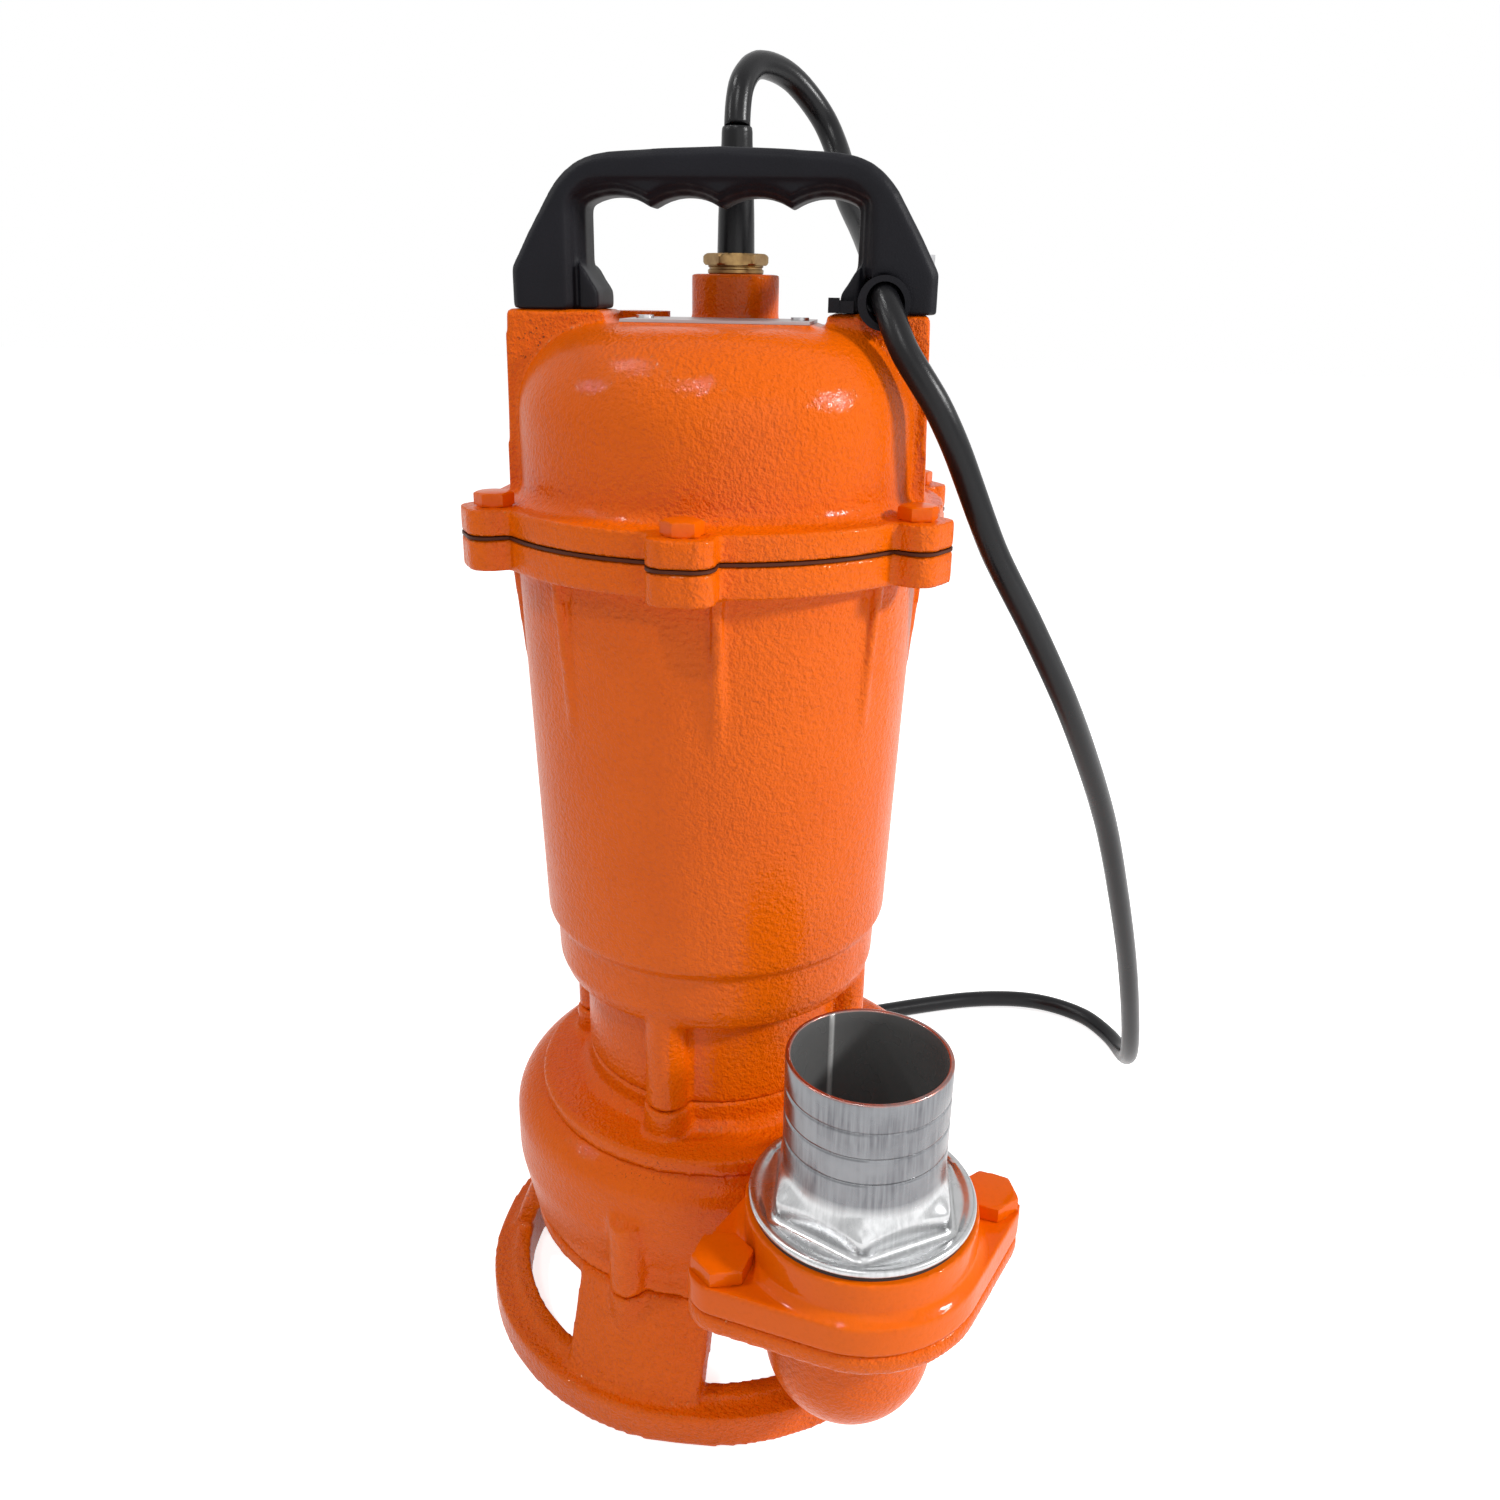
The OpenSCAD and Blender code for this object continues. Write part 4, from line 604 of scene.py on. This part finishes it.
def tail_rings():
    """The tail's rings up its outside and down its bore, each as a radius and a height."""
    yield THREAD_R - THREAD_DEEP, TAIL_LOW
    for i in range(THREAD_TURNS):
        yield THREAD_R, TAIL_LOW + 0.4 + i * THREAD_STEP
        yield THREAD_R - THREAD_DEEP, TAIL_LOW + 1.05 + i * THREAD_STEP
    yield THREAD_R, WASHER_LOW - 0.1
    yield from WASHER_EDGE
    for t in (0.0, 0.25, 0.5, 0.75):
        yield (lambda a, t=t: (WASHER_R - 2.6) * (1 - t) + (hex_radius(a) + 2.2) * t,
               WASHER_TOP - 0.45 - 0.7 * math.sin(math.pi * t * 0.66))
    for t in (0, 0.2, 0.4, 0.6, 0.8, 1.0):
        turn = t * math.pi / 2
        yield (lambda a, out=SKIRT_FOOT * (1 - math.sin(turn)): hex_radius(a) + out,
               WASHER_TOP - 1.05 + SKIRT_FOOT * (1 - math.cos(turn)))
    for t in (0.3, 0.6, 1.0):
        yield (lambda a, t=t: hex_radius(a) - SKIRT_LEAN * t,
               lambda a, t=t: SKIRT_LOW + (SKIRT_TALL - hex_dip(a)) * t)
    for i in range(1, SHOULDER_STEPS + 1):
        t = i / SHOULDER_STEPS
        yield (lambda a, t=t: (hex_radius(a) - SKIRT_LEAN) * (1 - ease(t)) + TAIL_R * ease(t),
               lambda a, t=t: SKIRT_LOW + SKIRT_TALL - hex_dip(a) * (1 - t)
               + SHOULDER_TALL * t - 0.5 * math.sin(math.pi * t))
    yield TAIL_R, TUBE_LOW
    for groove in GROOVES:
        for dz, deep in GROOVE_SHAPE:
            yield TAIL_R - deep, groove + dz
    yield from RIM_EDGE
    for z in (TAIL_TOP - 0.5, 150, 130, 110, TAIL_LOW + 0.4):
        yield bore_radius, z
    yield TAIL_IN + 0.4, TAIL_LOW


def hose_tail():
    """Steel tail: threaded foot, washer flange, pressed hexagon skirt and grooved tube."""
    loops = [round_loop(OUTLET, radius, height, TAIL_STEPS) for radius, height in tail_rings()]
    loops.append(loops[0])
    obj = closed_loops("hose_tail_steel", loops, looks["zinc"], 50)
    return stand_for(obj, "zinc", "hose_tail")


def hex_loops(place, half, turn, levels, steps):
    """Rings of a hexagon cut to a round cap at each level of (height, cap radius)."""
    return [round_loop(place, lambda a, cap=cap: min(hexagon(a, half, turn), cap), z, steps)
            for z, cap in levels]


def hex_nut(name, place, half, turn, levels, bore, material):
    """Chamfered hexagon nut in millimetres, with a plain bore."""
    loops = hex_loops(place, half, turn, levels, NUT_STEPS)
    loops += [round_loop(place, bore, z, NUT_STEPS) for z in (levels[-1][0], levels[0][0])]
    loops.append(loops[0])
    return closed_loops(name, loops, material, 22)


def gland():
    """Brass collar and nut, and the rubber sleeve that stands in them round the cord."""
    z = GLAND_Z
    body = spun("gland_collar", [
        (5.6, z - 11.8), (6.6, z - 11.8), (6.9, z - 11.4), (6.9, z), (8.3, z), (8.7, z + 0.3),
        (8.75, z + 1.2), (8.3, z + 1.5), (8.3, z + 1.9), (8.7, z + 2.2), (8.6, z + 2.6),
        (5.6, z + 2.6)], GLAND, looks["brass"], smooth_angle=30)
    stand_for(body, "brass", "gland_body")
    low = z + 2.6
    nut = hex_nut("gland_hex_nut", GLAND, 9, 8, [
        (low, 9.5), (low + 0.4, 9.95), (low + 0.9, 10.2), (low + 2.5, 10.2), (low + 3.0, 9.8),
        (low + 3.4, 9.1)], 5.85, looks["brass"])
    stand_for(nut, "brass", "gland_nut")
    sleeve = spun("cord_sleeve", [
        (4.05, low), (5.8, low), (5.8, low + 4), (5.6, low + 14), (5.15, low + 26),
        (4.75, low + 35), (4.7, low + 37.5), (4.55, low + 38.6), (4.3, low + 39),
        (4.05, low + 39)], GLAND, looks["cord"], steps=64)
    stand_for(sleeve, "cord", "strain_relief")


hose_tail()
gland()


# ------------------------------------------------------------------ bolts
# Half the width across flats, head height, shank radius and shank length, in millimetres
COVER_BOLT = (5, 4, 3, 15.5)
OUTLET_BOLT = (8, 5.2, 5, 18)
COVER_RING_R, COVER_BOLT_Z, COVER_FIRST, COVER_TURN = 69.5, 298.1, -90, 12
OUTLET_EAR, OUTLET_EAR_ANGLE, OUTLET_BOLT_Z, OUTLET_BOLT_TURN = 43.5, 25.3, 90.7, 15
BOLT_STEPS = 48


def bolt_points(name, places):
    """Points in millimetres, each with the turn of its bolt in degrees."""
    mesh = bpy.data.meshes.new(name)
    mesh.from_pydata([Vector(p[:3]) * MM for p in places], [], [])
    turn = mesh.attributes.new("turn", "FLOAT", "POINT")
    turn.data.foreach_set("value", [math.radians(p[3]) for p in places])
    return link(bpy.data.objects.new(name, mesh))


def bolt_shape(name, half, head, shank_r, shank, material):
    """One hexagon bolt with a chamfered top, a washer face and a plain shank, standing on z = 0."""
    cap = half / math.cos(math.radians(30))
    loops = [round_loop((0, 0), shank_r, z, BOLT_STEPS) for z in (-shank, -0.01)]
    loops += hex_loops((0, 0), half, 30, [
        (0.0, half * 0.99), (0.25, half * 0.99), (0.3, cap - 0.1), (0.5, cap),
        (head - 0.75, cap), (head - 0.35, cap * 0.975), (head - 0.08, half * 0.985),
        (head, half * 0.93)], BOLT_STEPS)
    obj = closed_loops(name, loops, material, 24, ends=True)
    obj.hide_render = True
    return obj


def bolt_nodes():
    """Geometry nodes: one bolt on each point, turned by the point's own angle."""
    tree = bpy.data.node_groups.new("bolts_on_points", "GeometryNodeTree")
    for key, kind in (("Points", "NodeSocketGeometry"), ("Bolt", "NodeSocketObject"),
                      ("Size", FLOAT), ("Paint", "NodeSocketMaterial")):
        tree.interface.new_socket(key, in_out="INPUT", socket_type=kind)
    tree.interface.new_socket("Bolts", in_out="OUTPUT", socket_type="NodeSocketGeometry")
    given, out = add(tree, "NodeGroupInput"), add(tree, "NodeGroupOutput")
    info = add(tree, "GeometryNodeObjectInfo")
    turn = add(tree, "GeometryNodeInputNamedAttribute", data_type="FLOAT")
    turn.inputs["Name"].default_value = "turn"
    way = add(tree, "ShaderNodeCombineXYZ")
    place = add(tree, "GeometryNodeInstanceOnPoints")
    real = add(tree, "GeometryNodeRealizeInstances")
    paint = add(tree, "GeometryNodeSetMaterial")
    tree.links.new(given.outputs["Points"], place.inputs["Points"])
    tree.links.new(given.outputs["Bolt"], info.inputs["Object"])
    tree.links.new(info.outputs["Geometry"], place.inputs["Instance"])
    tree.links.new(turn.outputs["Attribute"], way.inputs["Z"])
    tree.links.new(way.outputs["Vector"], place.inputs["Rotation"])
    tree.links.new(given.outputs["Size"], place.inputs["Scale"])
    tree.links.new(place.outputs["Instances"], real.inputs["Geometry"])
    tree.links.new(real.outputs["Geometry"], paint.inputs["Geometry"])
    tree.links.new(given.outputs["Paint"], paint.inputs["Material"])
    tree.links.new(paint.outputs["Geometry"], out.inputs["Bolts"])
    return tree


BOLT_NODES = bolt_nodes()


def bolts(name, node, places, sizes):
    """Bolts at places in millimetres, made one plain mesh that stands for a CAD node."""
    paint = looks["smooth"]
    one = bolt_shape(name + "_one", *sizes, paint)
    obj = bolt_points(name, places)
    change = obj.modifiers.new("bolts", "NODES")
    change.node_group = BOLT_NODES
    keys = {i.name: i.identifier for i in BOLT_NODES.interface.items_tree if i.in_out == "INPUT"}
    for key, value in (("Bolt", one), ("Size", 1.0), ("Paint", paint)):
        change[keys[key]] = value
    made_plain(obj)
    bpy.data.objects.remove(one)
    return stand_for(obj, "smooth", node)


def cover_places():
    """Six bolts round the cover's flange, the first in front."""
    found = []
    for i in range(6):
        angle = COVER_FIRST + 60 * i
        a = math.radians(angle)
        found.append((COVER_RING_R * math.cos(a), COVER_RING_R * math.sin(a), COVER_BOLT_Z,
                      angle + COVER_TURN))
    return found


def outlet_places():
    """One bolt in each ear of the outlet flange."""
    a = math.radians(OUTLET_EAR_ANGLE)
    across, along = OUTLET_EAR * math.cos(a), OUTLET_EAR * math.sin(a)
    return [(OUTLET[0] + side * across, OUTLET[1] + side * along, OUTLET_BOLT_Z,
             side * OUTLET_BOLT_TURN) for side in (-1, 1)]


bolts("cover_hex_bolts", "cover_bolts", cover_places(), COVER_BOLT)
bolts("outlet_hex_bolts", "outlet_bolts", outlet_places(), OUTLET_BOLT)


# ------------------------------------------------------------------ mains cord
def between(a, b, c, d):
    """Point midway from b to c on a smooth line through all four."""
    return (b + c) * 9 / 16 - (a + d) / 16


def smooth_path(points, rounds=3):
    """Smooth line through every point; each round puts one more between each two."""
    if rounds > 1:
        points = smooth_path(points, rounds - 1)
    found = []
    for i, point in enumerate(points):
        found.append(point)
        if i + 1 < len(points):
            found.append(between(points[max(0, i - 1)], point, points[i + 1],
                                 points[min(len(points) - 1, i + 2)]))
    return found


def coil_point(t):
    """Point of the coil after t turns: it winds in and out, one level higher each time."""
    phase = t / LAYER_TURNS
    fold = abs(phase - 2 * math.floor(phase / 2 + 0.5))
    radius = COIL_OUT - COIL_STEP * LAYER_TURNS * fold
    k = math.floor(phase + 0.5)
    s = t - k * LAYER_TURNS
    layers = COIL_TURNS / LAYER_TURNS
    if k <= 0 or k >= layers:
        level = math.floor(phase + 0.001)
    elif abs(s) >= 0.25:
        level = math.floor(phase)
    else:
        level = k - 0.5 - 0.5 * math.cos(math.pi * (s * 2 + 0.5))
    level = min(layers - 1, max(0, level))
    angle = math.radians(-90 - 360 * t)
    return Vector((COIL_CENTRE[0] + radius * math.cos(angle),
                   COIL_CENTRE[1] + radius * math.sin(angle),
                   COIL_LOW + COIL_STEP * level))


def cord_line():
    """Centreline of the whole cord in millimetres, from the sleeve to the plug."""
    coil = [coil_point(i / RINGS_A_TURN) for i in range(COIL_TURNS * RINGS_A_TURN + 1)]
    start = coil[0] + Vector((COIL_LEAD, 0, 0))
    finish = coil[-1] - Vector((COIL_LEAD, 0, 0))
    run = [Vector(p) for p in (EXIT, *ARCH, *HANGING, *ON_FLOOR)] + [start]
    end = [finish, *(Vector(p) for p in END), Vector(PLUG_REAR)]
    return smooth_path(run) + coil + smooth_path(end)


def swept(name, line, radius, sides, material):
    """Closed round tube along a line, with rings turned as little as possible."""
    bm = bmesh.new()
    side = Vector((1, 0, 0))
    rings = []
    for i, point in enumerate(line):
        ahead = (line[min(i + 1, len(line) - 1)] - line[max(i - 1, 0)]).normalized()
        side = (side - ahead * side.dot(ahead)).normalized()
        other = ahead.cross(side)
        rings.append([
            bm.verts.new(point + (side * math.cos(a) + other * math.sin(a)) * radius)
            for a in (2 * math.pi * k / sides for k in range(sides))])
    for low, high in zip(rings, rings[1:]):
        for k in range(sides):
            n = (k + 1) % sides
            bm.faces.new((low[k], low[n], high[n], high[k])).smooth = True
    bm.faces.new(list(reversed(rings[0])))
    bm.faces.new(rings[-1])
    mesh = bpy.data.meshes.new(name)
    bm.to_mesh(mesh)
    bm.free()
    return link(bpy.data.objects.new(name, mesh), material)


route = [p * MM for p in cord_line()]
mains = swept("mains_cord", route, CORD_D / 2, 16, looks["cord"])
stand_for(mains, "cord", "cord_run", "cord_coil", "cord_end")


# ------------------------------------------------------------------ floor and light
FLOOR_HALF, FLOOR_DROP, FLOOR_LIFT = 6, 0.5 * MM, 0.8
WORLD_SOFT, WORLD_SEEN = 0.24, 1.0
LAMP_TARGET = (0, 0, 0.2)
# Place and size in metres, power in watts
LAMPS = {
    "right_key": ((1.45, -0.27, 1.05), (0.26, 0.18), 22),
    "front_fill": ((0.75, -1.5, 0.7), (1.4, 1.4), 5.5),
    "left_high": ((-0.86, -0.14, 1.7), (0.14, 0.09), 5.5),
    "left_low": ((-1.36, -0.25, 1.2), (0.1, 0.07), 3),
    "front_high": ((-0.16, -1.02, 1.6), (0.13, 0.09), 5),
}


def make_floor():
    """Pale floor: what the camera and the glossy pieces see of it is lifted to white."""
    mesh = bpy.data.meshes.new("floor")
    corners = [(x * FLOOR_HALF, y * FLOOR_HALF, 0) for x, y in ((-1, -1), (1, -1), (1, 1), (-1, 1))]
    mesh.from_pydata(corners, [], [(0, 1, 2, 3)])
    look = Look("floor", 0.9, shine=0.1)
    look.shader.inputs["Base Color"].default_value = (0.9, 0.9, 0.9, 1)
    look.shader.inputs["Emission Color"].default_value = (1, 1, 1, 1)
    lift = maths(look.tree, "MULTIPLY", seen_rays(look.tree), FLOOR_LIFT)
    look.tree.links.new(lift, look.shader.inputs["Emission Strength"])
    floor = link(bpy.data.objects.new("floor", mesh), look.material)
    floor.location.z = -FLOOR_DROP


def make_world():
    """Soft surround that lights the pump, and is plain white where it is seen."""
    world = bpy.data.worlds.new("studio")
    scene.world = world
    world.use_nodes = True
    tree = world.node_tree
    tree.nodes.clear()
    out = add(tree, "ShaderNodeOutputWorld")
    mix = add(tree, "ShaderNodeMixShader")
    tree.links.new(seen_rays(tree), mix.inputs["Fac"])
    for i, strength in enumerate((WORLD_SOFT, WORLD_SEEN)):
        sky = add(tree, "ShaderNodeBackground")
        sky.inputs["Color"].default_value = (1, 1, 1, 1)
        sky.inputs["Strength"].default_value = strength
        tree.links.new(sky.outputs[0], mix.inputs[i + 1])
    tree.links.new(mix.outputs[0], out.inputs["Surface"])


def lamp(name, place, size, power):
    data = bpy.data.lights.new(name, "AREA")
    data.shape = "RECTANGLE"
    data.size, data.size_y = size
    data.energy = power
    obj = link(bpy.data.objects.new(name, data))
    obj.location = place
    obj.rotation_mode = "QUATERNION"
    obj.rotation_quaternion = (Vector(place) - Vector(LAMP_TARGET)).to_track_quat("Z", "Y")


make_floor()
make_world()
for name, values in LAMPS.items():
    lamp(name, *values)

scene.view_settings.view_transform = "Standard"
